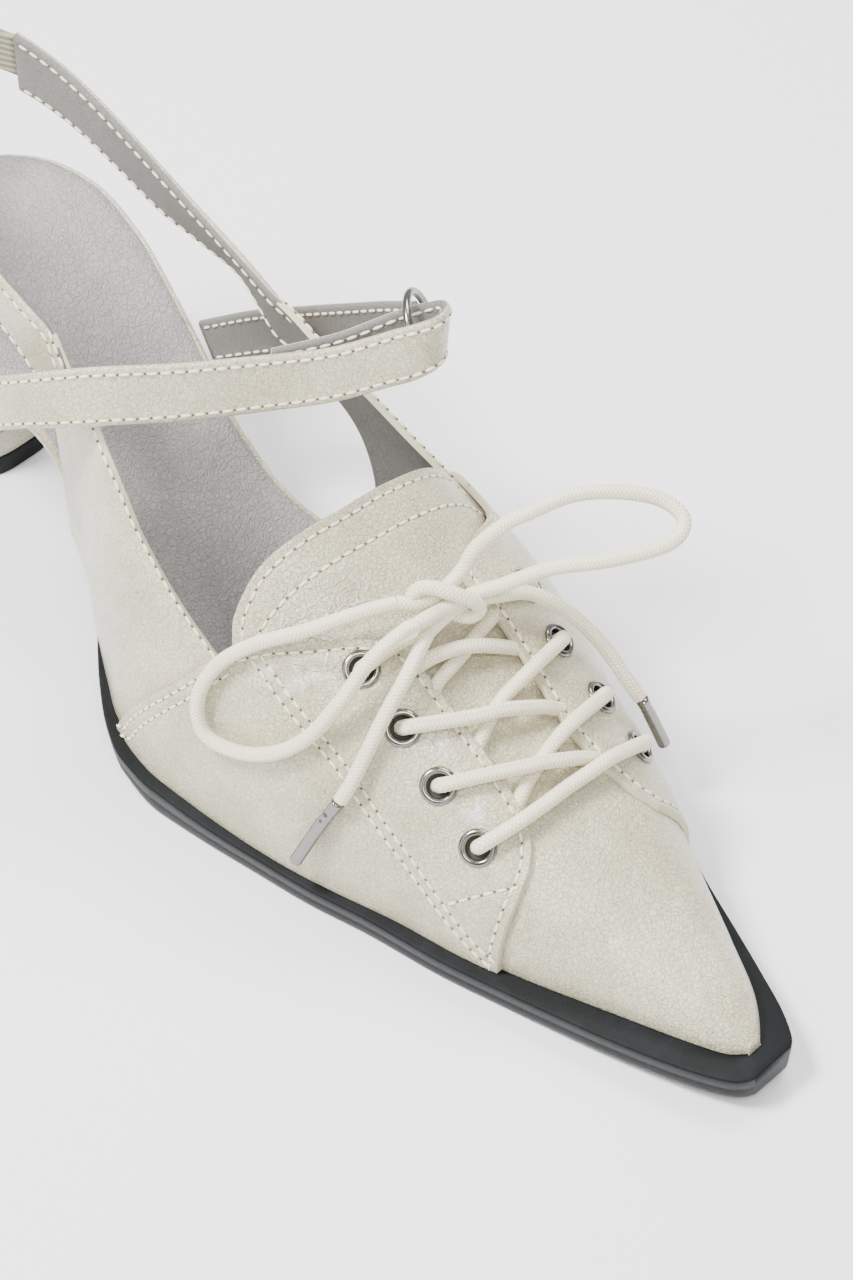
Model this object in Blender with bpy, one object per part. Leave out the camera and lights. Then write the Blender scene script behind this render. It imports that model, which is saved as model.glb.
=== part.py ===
"""Left lace-up slingback heel with a pointed toe, built in millimetres along the shoe
(x from the heel towards the toe, y towards the outer side, z up) and set down in metres."""
import bpy
import math
from bisect import bisect_right
from mathutils import Vector

for old in list(bpy.data.objects):
    bpy.data.objects.remove(old, do_unlink=True)

# sizes, millimetres
MM = 0.001
MIDDLE_X, MIDDLE_Y = 139.475, -0.9     # middle of the finished shoe's box
WALL = 1.5                          # upper's own thickness
PANEL_GAP, PANEL_TOP = 0.3, 1.4     # side panels sit over the upper
SEAT_GAP = 0.3                      # glue line between stacked pieces
INSOLE_THICK = 3.4
SOLE_STEP = 0.35                    # lower layer of the sole set in
TOE_SPRING, SPRING_FROM, TOE_X = 3.0, 195.0, 262.0
EYELET_OUT, EYELET_IN, EYELET_HOLE = 3.7, 2.3, 3.0
LACE = 1.45                          # lace radius
STRAP_THICK = 2.0


class Row:
    """smooth table: value against x, no overshoot between rows"""
    def __init__(self, xs, vs):
        self.x, self.v = [float(a) for a in xs], [float(a) for a in vs]
        n = len(self.x)
        d = [(self.v[i + 1] - self.v[i]) / (self.x[i + 1] - self.x[i]) for i in range(n - 1)]
        m = [0.0] * n
        for i in range(1, n - 1):
            if d[i - 1] * d[i] > 0:
                h0, h1 = self.x[i] - self.x[i - 1], self.x[i + 1] - self.x[i]
                w1, w2 = 2 * h1 + h0, h1 + 2 * h0
                m[i] = (w1 + w2) / (w1 / d[i - 1] + w2 / d[i])
        m[0], m[-1] = d[0], d[-1]
        self.m = m

    def __call__(self, x):
        if x <= self.x[0]:
            return self.v[0]
        if x >= self.x[-1]:
            return self.v[-1]
        i = bisect_right(self.x, x) - 1
        h = self.x[i + 1] - self.x[i]
        t = (x - self.x[i]) / h
        return ((2 * t ** 3 - 3 * t * t + 1) * self.v[i] + (t ** 3 - 2 * t * t + t) * h * self.m[i]
                + (-2 * t ** 3 + 3 * t * t) * self.v[i + 1] + (t ** 3 - t * t) * h * self.m[i + 1])


def rows(table):
    cols = list(zip(*table))
    return [Row(cols[0], c) for c in cols[1:]]


# the last: x, inner-side feather y, outer-side feather y, ridge y, ridge z,
# fullness inner side, fullness outer side
LAST = [
    (84, -21.5, 25.0, 3.0, 131.0, 2.3, 2.5),
    (95, -25.0, 26.5, 3.0, 113.0, 2.3, 2.6),
    (105, -31.0, 28.5, 3.0, 99.0, 2.3, 2.7),
    (112, -35.0, 30.0, 3.0, 90.0, 2.3, 2.7),
    (119, -38.3, 32.5, 3.2, 82.0, 2.3, 2.7),
    (129, -39.2, 35.5, 3.3, 72.5, 2.3, 2.7),
    (140, -38.2, 37.6, 3.4, 64.5, 2.35, 2.7),
    (152, -36.9, 38.2, 3.3, 57.6, 2.35, 2.7),
    (164, -35.2, 37.4, 3.0, 51.2, 2.35, 2.7),
    (175, -32.7, 35.0, 2.5, 45.0, 2.35, 2.65),
    (189, -29.0, 30.8, 1.5, 37.6, 2.35, 2.6),
    (203, -26.2, 26.2, 0.2, 31.0, 2.3, 2.55),
    (215, -22.9, 21.2, -1.3, 26.0, 2.3, 2.45),
    (228, -18.6, 15.0, -2.8, 21.4, 2.3, 2.35),
    (240, -14.6, 9.0, -4.0, 17.8, 2.3, 2.3),
    (250, -11.2, 3.6, -4.7, 14.9, 2.3, 2.3),
    (255, -9.0, -0.6, -4.9, 12.6, 2.3, 2.3),
    (257.4, -6.6, -3.2, -4.9, 10.4, 2.3, 2.3)]
feather_in, feather_out, ridge_y, ridge_z, full_in, full_out = rows(LAST)

# sole: x, inner-side edge, outer-side edge, top z, bottom z (before toe spring)
SOLE = [
    (21.2, -4.0, 9.0, 59.3, 56.9),
    (22.2, -9.0, 14.0, 59.3, 56.8),
    (24.5, -14.0, 19.0, 59.2, 56.7),
    (28.5, -18.2, 23.2, 59.0, 56.4),
    (35, -21.4, 26.4, 58.5, 55.8),
    (45, -22.8, 27.6, 56.7, 54.0),
    (55, -21.8, 26.8, 53.0, 50.3),
    (65, -18.6, 24.8, 48.2, 45.5),
    (75, -15.8, 22.8, 42.2, 39.5),
    (85, -17.0, 20.6, 35.4, 32.6),
    (95, -22.5, 19.8, 28.4, 25.5),
    (103, -29.2, 20.8, 22.6, 19.4),
    (111, -36.2, 24.0, 17.2, 13.6),
    (118, -40.8, 28.6, 13.1, 8.7),
    (124, -42.9, 33.0, 10.3, 4.6),
    (130, -43.0, 36.6, 8.3, 1.4),
    (136, -42.3, 39.2, 7.3, 0.0),
    (145, -41.2, 40.9, 6.4, 0.0),
    (157, -39.3, 41.2, 6.0, 0.0),
    (170, -37.2, 39.2, 6.0, 0.0),
    (184, -33.9, 35.2, 6.0, 0.0),
    (200, -31.0, 29.4, 6.0, 0.0),
    (213, -27.8, 23.8, 6.0, 0.0),
    (224, -25.0, 18.8, 6.0, 0.0),
    (236, -21.8, 14.0, 6.0, 0.0),
    (247, -18.4, 9.4, 6.0, 0.0),
    (255, -15.4, 5.8, 6.0, 0.0),
    (259.3, -13.2, 3.2, 6.0, 0.0),
    (261.2, -11.4, 1.6, 6.0, 0.0),
    (262, -9.8, 0.2, 6.0, 0.0)]
sole_in, sole_out, sole_top_flat, sole_bottom_flat = rows(SOLE)


def spring(x):
    return TOE_SPRING * min(max((x - SPRING_FROM) / (TOE_X - SPRING_FROM), 0.0), 1.0) ** 1.8


def sole_top(x):
    return sole_top_flat(x) + spring(x)


def sole_bottom(x):
    return sole_bottom_flat(x) + spring(x)


def last_point(x, v, off=0.0, inner=False):
    """point of the upper at x; v runs -1 inner feather, 0 ridge, +1 outer feather"""
    th = (1 - abs(v)) * math.pi / 2
    power = 2 / (full_in(x) if v < 0 else full_out(x))
    y0 = ridge_y(x)
    w = (y0 - feather_in(x)) if v < 0 else (feather_out(x) - y0)
    z0 = sole_top(x) + SEAT_GAP
    h = ridge_z(x) - z0
    w, h = w + off, h + off * 1.1
    if inner:
        w, h = max(w - WALL, 0.7), max(h - WALL * 1.12, 0.5)
        x = x - WALL * 1.1 * min(max((x - 235) / 22, 0.0), 1.0)
    side = -1 if v < 0 else 1
    return Vector((x, y0 + side * w * max(math.cos(th), 0.0) ** power,
                   z0 + h * max(math.sin(th), 0.0) ** power))


def v_at(x, z, side):
    """section parameter at height z on the inner (-1) or outer (+1) side"""
    n = full_in(x) if side < 0 else full_out(x)
    z0 = sole_top(x) + SEAT_GAP
    b = min(max((z - z0) / (ridge_z(x) - z0), 0.0), 1.0)
    return side * (1 - math.asin(b ** (n / 2)) * 2 / math.pi)


# making solids
shoe = bpy.data.collections.new("lace_up_heel")
bpy.context.scene.collection.children.link(shoe)
cutters = bpy.data.collections.new("cutters")
bpy.context.scene.collection.children.link(cutters)

LOOKS = {"upper_leather": (0.70, 0.68, 0.62, 0.35, 0.0), "tongue_leather": (0.69, 0.67, 0.60, 0.35, 0.0),
         "panel_leather": (0.72, 0.70, 0.63, 0.35, 0.0), "sole_rubber": (0.03, 0.034, 0.036, 0.55, 0.0),
         "insole_lining": (0.46, 0.44, 0.42, 0.7, 0.0), "heel_cover_leather": (0.70, 0.68, 0.62, 0.35, 0.0),
         "heel_tip_rubber": (0.03, 0.03, 0.03, 0.6, 0.0), "elastic_cloth": (0.38, 0.37, 0.28, 0.85, 0.0),
         "lace_cotton": (0.80, 0.77, 0.69, 0.8, 0.0), "polished_metal": (0.75, 0.75, 0.74, 0.2, 1.0)}


def finish(ob, look, collection=None):
    mat = bpy.data.materials.new(ob.name + "_" + look)
    mat.use_nodes = True
    r, g, b, rough, metal = LOOKS[look]
    shader = mat.node_tree.nodes["Principled BSDF"]
    shader.inputs["Base Color"].default_value = (r, g, b, 1)
    shader.inputs["Roughness"].default_value = rough
    shader.inputs["Metallic"].default_value = metal
    ob.data.materials.clear()
    ob.data.materials.append(mat)
    (collection or shoe).objects.link(ob)
    return ob


def place(p):
    return ((p[0] - MIDDLE_X) * MM, (p[1] - MIDDLE_Y) * MM, p[2] * MM)


def solid(name, points, faces, look):
    pts = [Vector(p) for p in points]
    volume = sum(pts[f[0]].dot(pts[f[i]].cross(pts[f[i + 1]])) for f in faces for i in range(1, len(f) - 1))
    if volume < 0:
        faces = [tuple(reversed(f)) for f in faces]
    mesh = bpy.data.meshes.new(name)
    mesh.from_pydata([place(p) for p in points], [], faces)
    mesh.validate()
    mesh.update()
    return finish(bpy.data.objects.new(name, mesh), look)


def sheet(name, quads, outer, inner, look):
    """quads name grid keys; outer/inner give each key its two points"""
    keys = sorted({k for q in quads for k in q})
    idx = {k: i for i, k in enumerate(keys)}
    n = len(keys)
    pts = [outer[k] for k in keys] + [inner[k] for k in keys]
    faces, edges = [], {}
    for q in quads:
        a = [idx[k] for k in q]
        faces.append(tuple(a))
        faces.append(tuple(i + n for i in reversed(a)))
        for i in range(len(a)):
            e = (a[i], a[(i + 1) % len(a)])
            edges[e] = True
    for (a, b) in list(edges):
        if (b, a) not in edges:
            faces.append((b, a, a + n, b + n))
    return solid(name, pts, faces, look)


def loft(name, rings, look):
    """closed rings of equal length joined in order, ends capped"""
    n = len(rings[0])
    pts = [p for r in rings for p in r]
    faces = []
    for i in range(len(rings) - 1):
        for j in range(n):
            k = (j + 1) % n
            faces.append((i * n + j, i * n + k, (i + 1) * n + k, (i + 1) * n + j))
    faces.append(tuple(reversed(range(n))))
    faces.append(tuple((len(rings) - 1) * n + j for j in range(n)))
    return solid(name, pts, faces, look)


# outsole
rings = []
for x in [r[0] for r in SOLE]:
    zt, zb = sole_top(x), sole_bottom(x)
    a, b = sole_in(x), sole_out(x)
    mid = zb + (zt - zb) * 0.5
    s = min(SOLE_STEP, (b - a) * 0.02)
    rings.append([(x, b, zt), (x, a, zt), (x, a, mid), (x, a + s, mid - 0.25), (x, a + s, zb + 0.5),
                  (x, a + s + 0.5, zb), (x, b - s - 0.5, zb), (x, b - s, zb + 0.5), (x, b - s, mid - 0.25),
                  (x, b, mid)])
loft("outsole", rings, "sole_rubber")

# insole with wrapped rim
INSOLE = [
    (19.6, -3.5, 8.5), (20.6, -8.6, 13.6), (23.0, -14.0, 19.0), (27.5, -18.8, 23.8), (34.5, -22.6, 27.4),
    (44.5, -24.4, 29.2), (55, -23.2, 28.6), (65, -20.2, 26.6), (75, -17.4, 24.4), (85, -18.8, 22.0),
    (93, -22.2, 20.2), (101, -26.6, 20.2), (109, -31.2, 21.8), (116, -34.4, 24.6), (124, -36.6, 28.6)]
for x in (133, 144, 156, 170, 186, 202, 216, 230, 241):
    INSOLE.append((x, feather_in(x) + WALL + 0.5, feather_out(x) - WALL - 0.5))
rings = []
for x, a, b in INSOLE:
    zb = sole_top(x) + SEAT_GAP
    zt = zb + INSOLE_THICK
    c = min(0.9, (b - a) * 0.05)
    rings.append([(x, b, zt - c), (x, b - c, zt), (x, a + c, zt), (x, a, zt - c), (x, a, zb + c),
                  (x, a + c, zb), (x, b - c, zb), (x, b, zb + c)])
loft("insole", rings, "insole_lining")

# heel and its top piece
# heel outlines: height share from seat 0 to ground 1, back x, breast x, half width, side centre y
HEEL = [(0.0, 22.4, 61.0, 22.6), (0.08, 22.6, 58.0, 21.0), (0.2, 23.4, 54.0, 18.0), (0.38, 24.8, 49.6, 14.4),
        (0.6, 26.2, 46.4, 11.8), (0.8, 27.2, 45.0, 10.6), (1.0, 27.8, 44.4, 10.2)]
HEEL_MID_Y, HEEL_TIP_Z, TIP_THICK, HEEL_SIDES = 2.5, 5.6, 5.3, 28


def heel_ring(back, breast, half, z_of):
    ring = []
    for k in range(HEEL_SIDES):
        a = 2 * math.pi * (k + 0.5) / HEEL_SIDES
        c, s = math.cos(a), math.sin(a)
        px = abs(c) ** (0.95 if c < 0 else 0.34) * (-1 if c < 0 else 1)
        mid = back + (breast - back) * 0.55
        x = mid + px * ((breast - mid) if c > 0 else (mid - back))
        y = HEEL_MID_Y + half * abs(s) ** 0.8 * (1 if s > 0 else -1)
        ring.append((x, y, z_of(x)))
    return ring


rings = []
for share, back, breast, half in HEEL:
    rings.append(heel_ring(back, breast, half, lambda x, q=share: (sole_bottom(x) - SEAT_GAP)
                           + (HEEL_TIP_Z - (sole_bottom(x) - SEAT_GAP)) * q))
loft("heel", list(reversed(rings)), "heel_cover_leather")
tip = HEEL[-1]
rings = [heel_ring(tip[1] + 0.3, tip[2] - 0.3, tip[3] - 0.3, lambda x: 0.0),
         heel_ring(tip[1], tip[2], tip[3], lambda x: 0.6),
         heel_ring(tip[1], tip[2], tip[3], lambda x: TIP_THICK)]
loft("heel_top_piece", rings, "heel_tip_rubber")

# upper: one hollow wall
# inner-side quarter: x, lower edge z, topline z      outer-side quarter the same
QUARTER_IN = [(84.0, 64.5, 81.6), (85.2, 60.5, 80.6), (86.6, 55.0, 79.2), (88.0, 45.5, 77.9),
              (89.2, 36.0, 76.8), (90.2, 0.0, 76.0), (93, 0, 74.4), (97, 0, 72.8), (102, 0, 70.6),
              (108.4, 0, 67.4), (114, 0, 63.8), (119, 0, 60.2), (124, 0, 55.8), (129, 0, 51.8),
              (134, 0, 48.2), (139.6, 0, 44.6)]
QUARTER_OUT = [(100.5, 59.2, 72.0), (106, 57.2, 69.6), (110.5, 54.6, 67.2), (114, 50.5, 65.0),
               (116.5, 45.5, 63.4), (118.4, 38.5, 62.2), (119.6, 30.0, 61.4), (120.6, 0, 60.6),
               (124, 0, 58.2), (129, 0, 54.6), (134, 0, 50.8), (139.6, 0, 47.4)]
SIDE_X = [146, 153, 160, 167, 175, 183, 191, 198]
VAMP_X = [204, 211, 218, 225, 232, 238.5, 244, 248.5, 252, 254.6, 256.4, 257.4]
SIDE_V = Row([139.6, 150, 165, 180, 204], [0.60, 0.615, 0.64, 0.66, 0.68])
COLS, ACROSS = 6, 12

outer, inner, quads = {}, {}, []


def put(key, x, v):
    outer[key] = last_point(x, v)
    inner[key] = last_point(x, v, inner=True)


for side, table in ((-1, QUARTER_IN), (1, QUARTER_OUT)):
    line = []
    for x, lo, hi in table:
        v0 = v_at(x, lo, side) if lo else side * 1.0
        line.append((x, v0, v_at(x, hi, side)))
    end = line[-1][2]
    for x in SIDE_X + [204]:
        blend = min((x - 139.6) / 12.0, 1.0)
        line.append((x, side * 1.0, end + (side * SIDE_V(x) - end) * blend))
    for i, (x, v0, v1) in enumerate(line):
        for j in range(COLS + 1):
            put((side, i, j) if x < 204 else ("v", 0, j if side < 0 else 2 * COLS + ACROSS - j),
                x, v0 + (v1 - v0) * j / COLS)
    n = len(line) - 1
    for i in range(n):
        for j in range(COLS):
            def name(a, c):
                if a < n:
                    return (side, a, c)
                return ("v", 0, c if side < 0 else 2 * COLS + ACROSS - c)
            q = [name(i, j), name(i + 1, j), name(i + 1, j + 1), name(i, j + 1)]
            quads.append(q if side < 0 else q[::-1])
edge_v = SIDE_V(204)
for i, x in enumerate(VAMP_X):
    for c in range(2 * COLS + ACROSS + 1):
        if c <= COLS:
            v = -1 + (1 - edge_v) * c / COLS
        elif c < COLS + ACROSS:
            v = -edge_v + 2 * edge_v * (c - COLS) / ACROSS
        else:
            v = edge_v + (1 - edge_v) * (c - COLS - ACROSS) / COLS
        put(("v", i, c), x, v)
        if i and c:
            quads.append([("v", i - 1, c - 1), ("v", i, c - 1), ("v", i, c), ("v", i - 1, c)])
names = {k: "%s_%03d_%03d" % (k[0], k[1], k[2]) for k in outer}
sheet("upper", [[names[k] for k in q] for q in quads], {names[k]: p for k, p in outer.items()},
      {names[k]: p for k, p in inner.items()}, "upper_leather")

# tongue
# top edge: share across -1..1, x        lower end butts against the vamp at x 203.6
TONGUE_TOP = Row([-1.0, -0.85, -0.6, -0.3, 0.0, 0.3, 0.6, 0.85, 1.0],
                 [143.5, 140.2, 139.4, 140.6, 142.2, 142.8, 142.4, 142.0, 145.0])
TONGUE_DROP = Row([139, 150, 158, 186, 198, 203.6], [0.3, 0.5, 1.1, 1.1, 0.5, 0.0])
TONGUE_END = 203.6
TR, TC = 14, 14
outer, inner, quads = {}, {}, []
for i in range(TR + 1):
    for j in range(TC + 1):
        share = -1 + 2 * j / TC
        top = TONGUE_TOP(share)
        x = top + (TONGUE_END - top) * i / TR
        edge = SIDE_V(x) - 0.02 - 0.05 * max(0.0, 1 - (x - 139) / 10.0)
        v = share * edge
        drop = TONGUE_DROP(x)
        key = "t_%03d_%03d" % (i, j)
        outer[key] = last_point(x, v, -drop)
        inner[key] = last_point(x, v, -drop, inner=True)
        if i and j:
            quads.append(["t_%03d_%03d" % (i - 1, j - 1), "t_%03d_%03d" % (i, j - 1), key,
                          "t_%03d_%03d" % (i - 1, j)])
sheet("tongue", quads, outer, inner, "tongue_leather")

# side panels with the facings
# edges in (x, v): topline and opening edge from the throat corner to the front corner,
# front edge up from the feather, rear seam up from the feather
PANEL = {
    -1: dict(top=[(141.2, .583), (148.2, .45), (155.0, .334), (162.0, .20), (166.0, .142), (172.0, .128),
                  (180.3, .135), (192.3, .150), (201.5, .190), (206.0, .262), (208.6, .36)],
             seam=[(119.8, 1.0), (124.9, .906), (130.1, .814), (136.0, .705), (141.2, .583)],
             front=[(210.8, 1.0), (210.6, .84), (210.3, .66), (209.7, .50), (208.6, .36)]),
    1: dict(top=[(142.6, .575), (149.0, .545), (153.4, .455), (156.4, .345), (158.8, .225), (161.4, .135),
                 (164.6, .100), (168.4, .112), (174.0, .125), (182.0, .128), (193.4, .130), (201.7, .174),
                 (209.0, .270), (213.6, .42)],
            seam=[(123.0, 1.0), (127.0, .89), (132.0, .78), (137.4, .67), (142.6, .575)],
            front=[(216.0, 1.0), (216.0, .86), (215.7, .71), (215.0, .56), (213.6, .42)])}
PANEL_COLS = 7


def along(line, t):
    """point of a short polyline read as a smooth curve, t 0..1"""
    k = len(line) - 1
    xs = Row([i / k for i in range(k + 1)], [p[0] for p in line])
    vs = Row([i / k for i in range(k + 1)], [p[1] for p in line])
    return xs(t), vs(t)


def panel_point(p, s, t):
    top, seam, front = along(p["top"], s), along(p["seam"], t), along(p["front"], t)
    x0, x1 = p["seam"][0][0], p["front"][0][0]
    out = []
    for c, lo in ((0, x0 + (x1 - x0) * s), (1, 1.0)):
        c00, c10, c01, c11 = p["seam"][0][c], p["front"][0][c], p["seam"][-1][c], p["front"][-1][c]
        out.append((1 - t) * lo + t * top[c] + (1 - s) * seam[c] + s * front[c]
                   - ((1 - s) * (1 - t) * c00 + s * (1 - t) * c10 + (1 - s) * t * c01 + s * t * c11))
    return out


# eyelets: x, v on each side, front to back
EYELETS = {-1: [(198.8, .441), (187.0, .365), (176.1, .307), (164.5, .274)],
           1: [(202.2, .524), (192.1, .408), (180.5, .336), (169.7, .336)]}


def frame_at(x, v, off):
    p = last_point(x, v, off)
    tx = last_point(x + 0.4, v, off) - last_point(x - 0.4, v, off)
    tv = last_point(x, v + 0.01, off) - last_point(x, v - 0.01, off)
    n = tx.cross(tv).normalized()
    if n.z < 0:
        n = -n
    return p, n


def turned(name, profile, p, n, look, sides=16):
    """profile of (radius, height) turned about the axis n at p, closed ring section"""
    u = n.orthogonal().normalized()
    w = n.cross(u)
    pts, faces = [], []
    m = len(profile)
    for k in range(sides):
        a = 2 * math.pi * k / sides
        d = u * math.cos(a) + w * math.sin(a)
        pts += [p + d * r + n * h for r, h in profile]
    for k in range(sides):
        q = (k + 1) % sides
        for j in range(m):
            i = (j + 1) % m
            faces.append((k * m + j, k * m + i, q * m + i, q * m + j))
    return solid(name, pts, faces, look)


for side, word in ((-1, "inner"), (1, "outer")):
    outer, inner, quads = {}, {}, []
    steps = 18
    for i in range(steps + 1):
        for j in range(PANEL_COLS + 1):
            x, v = panel_point(PANEL[side], i / steps, j / PANEL_COLS)
            key = "p_%03d_%03d" % (i, j)
            outer[key] = last_point(x, side * v, PANEL_TOP)
            inner[key] = last_point(x, side * v, PANEL_GAP)
            if i and j:
                q = ["p_%03d_%03d" % (i - 1, j - 1), "p_%03d_%03d" % (i, j - 1), key,
                     "p_%03d_%03d" % (i - 1, j)]
                quads.append(q if side < 0 else q[::-1])
    panel = sheet("side_panel_" + word, quads, outer, inner, "panel_leather")
    for k, (x, v) in enumerate(EYELETS[side]):
        p, n = frame_at(x, side * v, PANEL_TOP)
        bpy.ops.mesh.primitive_cylinder_add(vertices=20, radius=EYELET_HOLE * MM, depth=5 * MM)
        cut = bpy.context.object
        cut.name = "cut_%s_%d" % (word, k)
        cut.location = place(p)
        cut.rotation_mode = "QUATERNION"
        cut.rotation_quaternion = n.to_track_quat("Z", "Y")
        for c in list(cut.users_collection):
            c.objects.unlink(cut)
        cutters.objects.link(cut)
        cut.hide_render = True
        cut.display_type = "WIRE"
        mod = panel.modifiers.new("hole_%d" % k, "BOOLEAN")
        mod.operation, mod.solver, mod.object = "DIFFERENCE", "EXACT", cut
        turned("eyelet_%s_%d" % (word, k + 1),
               [(EYELET_IN, -1.0), (2.65, -1.0), (2.65, 0.3), (EYELET_OUT, 0.3), (EYELET_OUT - 0.3, 0.85),
                (2.9, 1.05), (EYELET_IN, 0.5)], p, n, "polished_metal")


# straps
def strap(name, table, thick, look):
    """table: top edge x y z, bottom edge x y z; a flat band of even thickness"""
    top = [Vector(r[:3]) for r in table]
    low = [Vector(r[3:]) for r in table]
    rings = []
    for i in range(len(table)):
        a, b = max(i - 1, 0), min(i + 1, len(table) - 1)
        run = (top[b] + low[b]) - (top[a] + low[a])
        n = run.cross(top[i] - low[i]).normalized() * thick * 0.5
        e = (top[i] - low[i]).normalized() * thick * 0.22
        t, w = top[i], low[i]
        rings.append([t - e + n, w + e + n, w + n * 0.5, w - n * 0.5, w + e - n, t - e - n,
                      t - n * 0.5, t + n * 0.5])
    return loft(name, rings, look)


SLING_INNER = [(83.4, -18.8, 81.9, 83.4, -20.2, 65.0), (78, -19.0, 84.6, 78, -19.8, 69.4),
               (71.5, -19.1, 87.3, 71.5, -19.7, 73.9), (64, -19.1, 90.2, 64, -19.5, 77.7),
               (55, -18.8, 93.6, 55, -19.2, 81.3), (45, -18.0, 96.8, 45, -18.4, 84.6),
               (36, -16.8, 99.0, 36, -17.1, 86.9), (30.2, -15.5, 99.9, 30.2, -15.8, 87.9)]
SLING_OUTER = [(99.9, 24.4, 72.3, 99.9, 25.8, 59.5), (95, 24.4, 74.0, 92.9, 27.2, 62.6),
               (90, 24.4, 75.9, 86.2, 28.7, 65.2), (80, 24.4, 79.8, 77.0, 27.4, 68.3),
               (68, 24.2, 84.9, 67.4, 24.9, 72.3), (56, 23.7, 90.2, 56, 24.0, 76.7),
               (45, 22.9, 94.8, 45, 23.2, 80.6), (36, 21.7, 97.5, 36, 22.0, 82.8),
               (30.2, 20.5, 98.9, 30.2, 20.8, 83.8)]
ELASTIC = [(29.8, 20.4, 98.2, 29.8, 20.6, 87.6), (24.2, 17.4, 99.2, 24.2, 17.5, 88.6),
           (19.6, 11.4, 100.0, 19.6, 11.5, 89.4), (17.6, 2.5, 100.3, 17.6, 2.5, 89.8),
           (19.6, -6.4, 100.0, 19.6, -6.5, 89.5), (24.2, -12.4, 99.6, 24.2, -12.5, 89.0),
           (29.8, -15.3, 99.2, 29.8, -15.4, 88.6)]
strap("sling_strap_inner", SLING_INNER, STRAP_THICK, "upper_leather")
strap("sling_strap_outer", SLING_OUTER, STRAP_THICK, "upper_leather")
strap("sling_elastic", ELASTIC, 1.3, "elastic_cloth")

# ankle strap: outer layer from the inner side of the waist over to the ring
ANKLE_INNER = [(58.6, -23.6, 52.6, 67.2, -20.9, 44.0), (65.2, -25.6, 61.0, 73.8, -24.6, 51.8),
               (73.6, -30.2, 70.2, 79.6, -31.4, 59.4), (84.0, -31.0, 79.4, 85.4, -33.8, 67.4),
               (99.0, -23.6, 87.2, 100.8, -26.6, 74.8), (113.2, -11.0, 89.9, 115.3, -13.8, 77.9),
               (122.9, 1.0, 90.4, 125.4, -1.8, 79.2), (131.4, 9.8, 92.4, 134.0, 7.0, 81.6),
               (139.4, 18.8, 96.6, 141.4, 15.4, 85.2), (142.3, 21.4, 98.3, 144.2, 18.2, 86.8)]
FOLD_GAP, RING_AT, RING_R, RING_WIRE = 9.4, 0.86, 7.4, 0.8
centre = [(Vector(r[:3]) + Vector(r[3:])) / 2 for r in ANKLE_INNER]
half = [(Vector(r[:3]) - Vector(r[3:])) / 2 for r in ANKLE_INNER]
run = (centre[-1] - centre[-2]).normalized()
behind = -run.cross(half[-1]).normalized()
fold = []
for k in range(1, 4):
    a = math.pi * k / 4
    c = centre[-1] + run * math.sin(a) * FOLD_GAP * 0.5 + behind * (1 - math.cos(a)) * FOLD_GAP * 0.5
    fold.append((c, half[-1] * 0.96))
for i, gap in ((-1, 1.0), (-2, 1.0), (-3, 0.72), (-4, 0.36)):
    fold.append((centre[i] + behind * FOLD_GAP * gap, half[i] * 0.92))
strap("ankle_strap_inner", ANKLE_INNER + [tuple(c + h) + tuple(c - h) for c, h in fold], 1.7,
      "upper_leather")
ring_centre = centre[-2].lerp(centre[-1], RING_AT) + behind * FOLD_GAP
ANKLE_OUTER = [(73.1, 27.4, 44.6, 79.0, 26.4, 37.2), (86.2, 29.4, 55.4, 92.0, 30.2, 46.6),
               (100.2, 30.2, 66.1, 105.6, 31.4, 57.0), (114.1, 30.6, 76.7, 119.0, 31.8, 67.2),
               (122.3, 31.0, 82.8, 126.0, 31.8, 73.0), (131.0, 31.15, 88.95, 133.3, 31.4, 78.5)]
strap("ankle_strap_outer", ANKLE_OUTER, 1.7, "upper_leather")
wire = [(RING_R + RING_WIRE * math.cos(2 * math.pi * k / 6), RING_WIRE * math.sin(2 * math.pi * k / 6))
        for k in range(6)]
turned("strap_ring", wire, ring_centre, run, "polished_metal", 24)


# lace
def cord(name, route, radius, keep=True, every=4.4):
    """round cord along a smooth curve through the hand-set points"""
    pts = [Vector(p) for p in route]
    dense = []
    for i in range(len(pts) - 1):
        p0, p1, p2, p3 = pts[max(i - 1, 0)], pts[i], pts[i + 1], pts[min(i + 2, len(pts) - 1)]
        for k in range(8):
            t = k / 8
            dense.append(0.5 * (2 * p1 + (p2 - p0) * t + (2 * p0 - 5 * p1 + 4 * p2 - p3) * t * t
                                + (3 * p1 - p0 - 3 * p2 + p3) * t ** 3))
    dense.append(pts[-1])
    step, keepers, run_len = radius * every, [dense[0]], 0.0
    for a, b in zip(dense, dense[1:]):
        run_len += (b - a).length
        if run_len >= step:
            keepers.append(b)
            run_len = 0.0
    if (keepers[-1] - dense[-1]).length < step * 0.45 and len(keepers) > 1:
        keepers.pop()
    keepers.append(dense[-1])
    curve = bpy.data.curves.new(name, "CURVE")
    curve.dimensions, curve.bevel_depth, curve.bevel_resolution = "3D", radius * MM, 2
    curve.use_fill_caps = True
    line = curve.splines.new("POLY")
    line.points.add(len(keepers) - 1)
    for p, q in zip(line.points, keepers):
        p.co = (*place(q), 1)
    return finish(bpy.data.objects.new(name, curve), "lace_cotton" if radius > 1.4 or not keep
                  else "polished_metal", shoe if keep else cutters)


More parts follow.
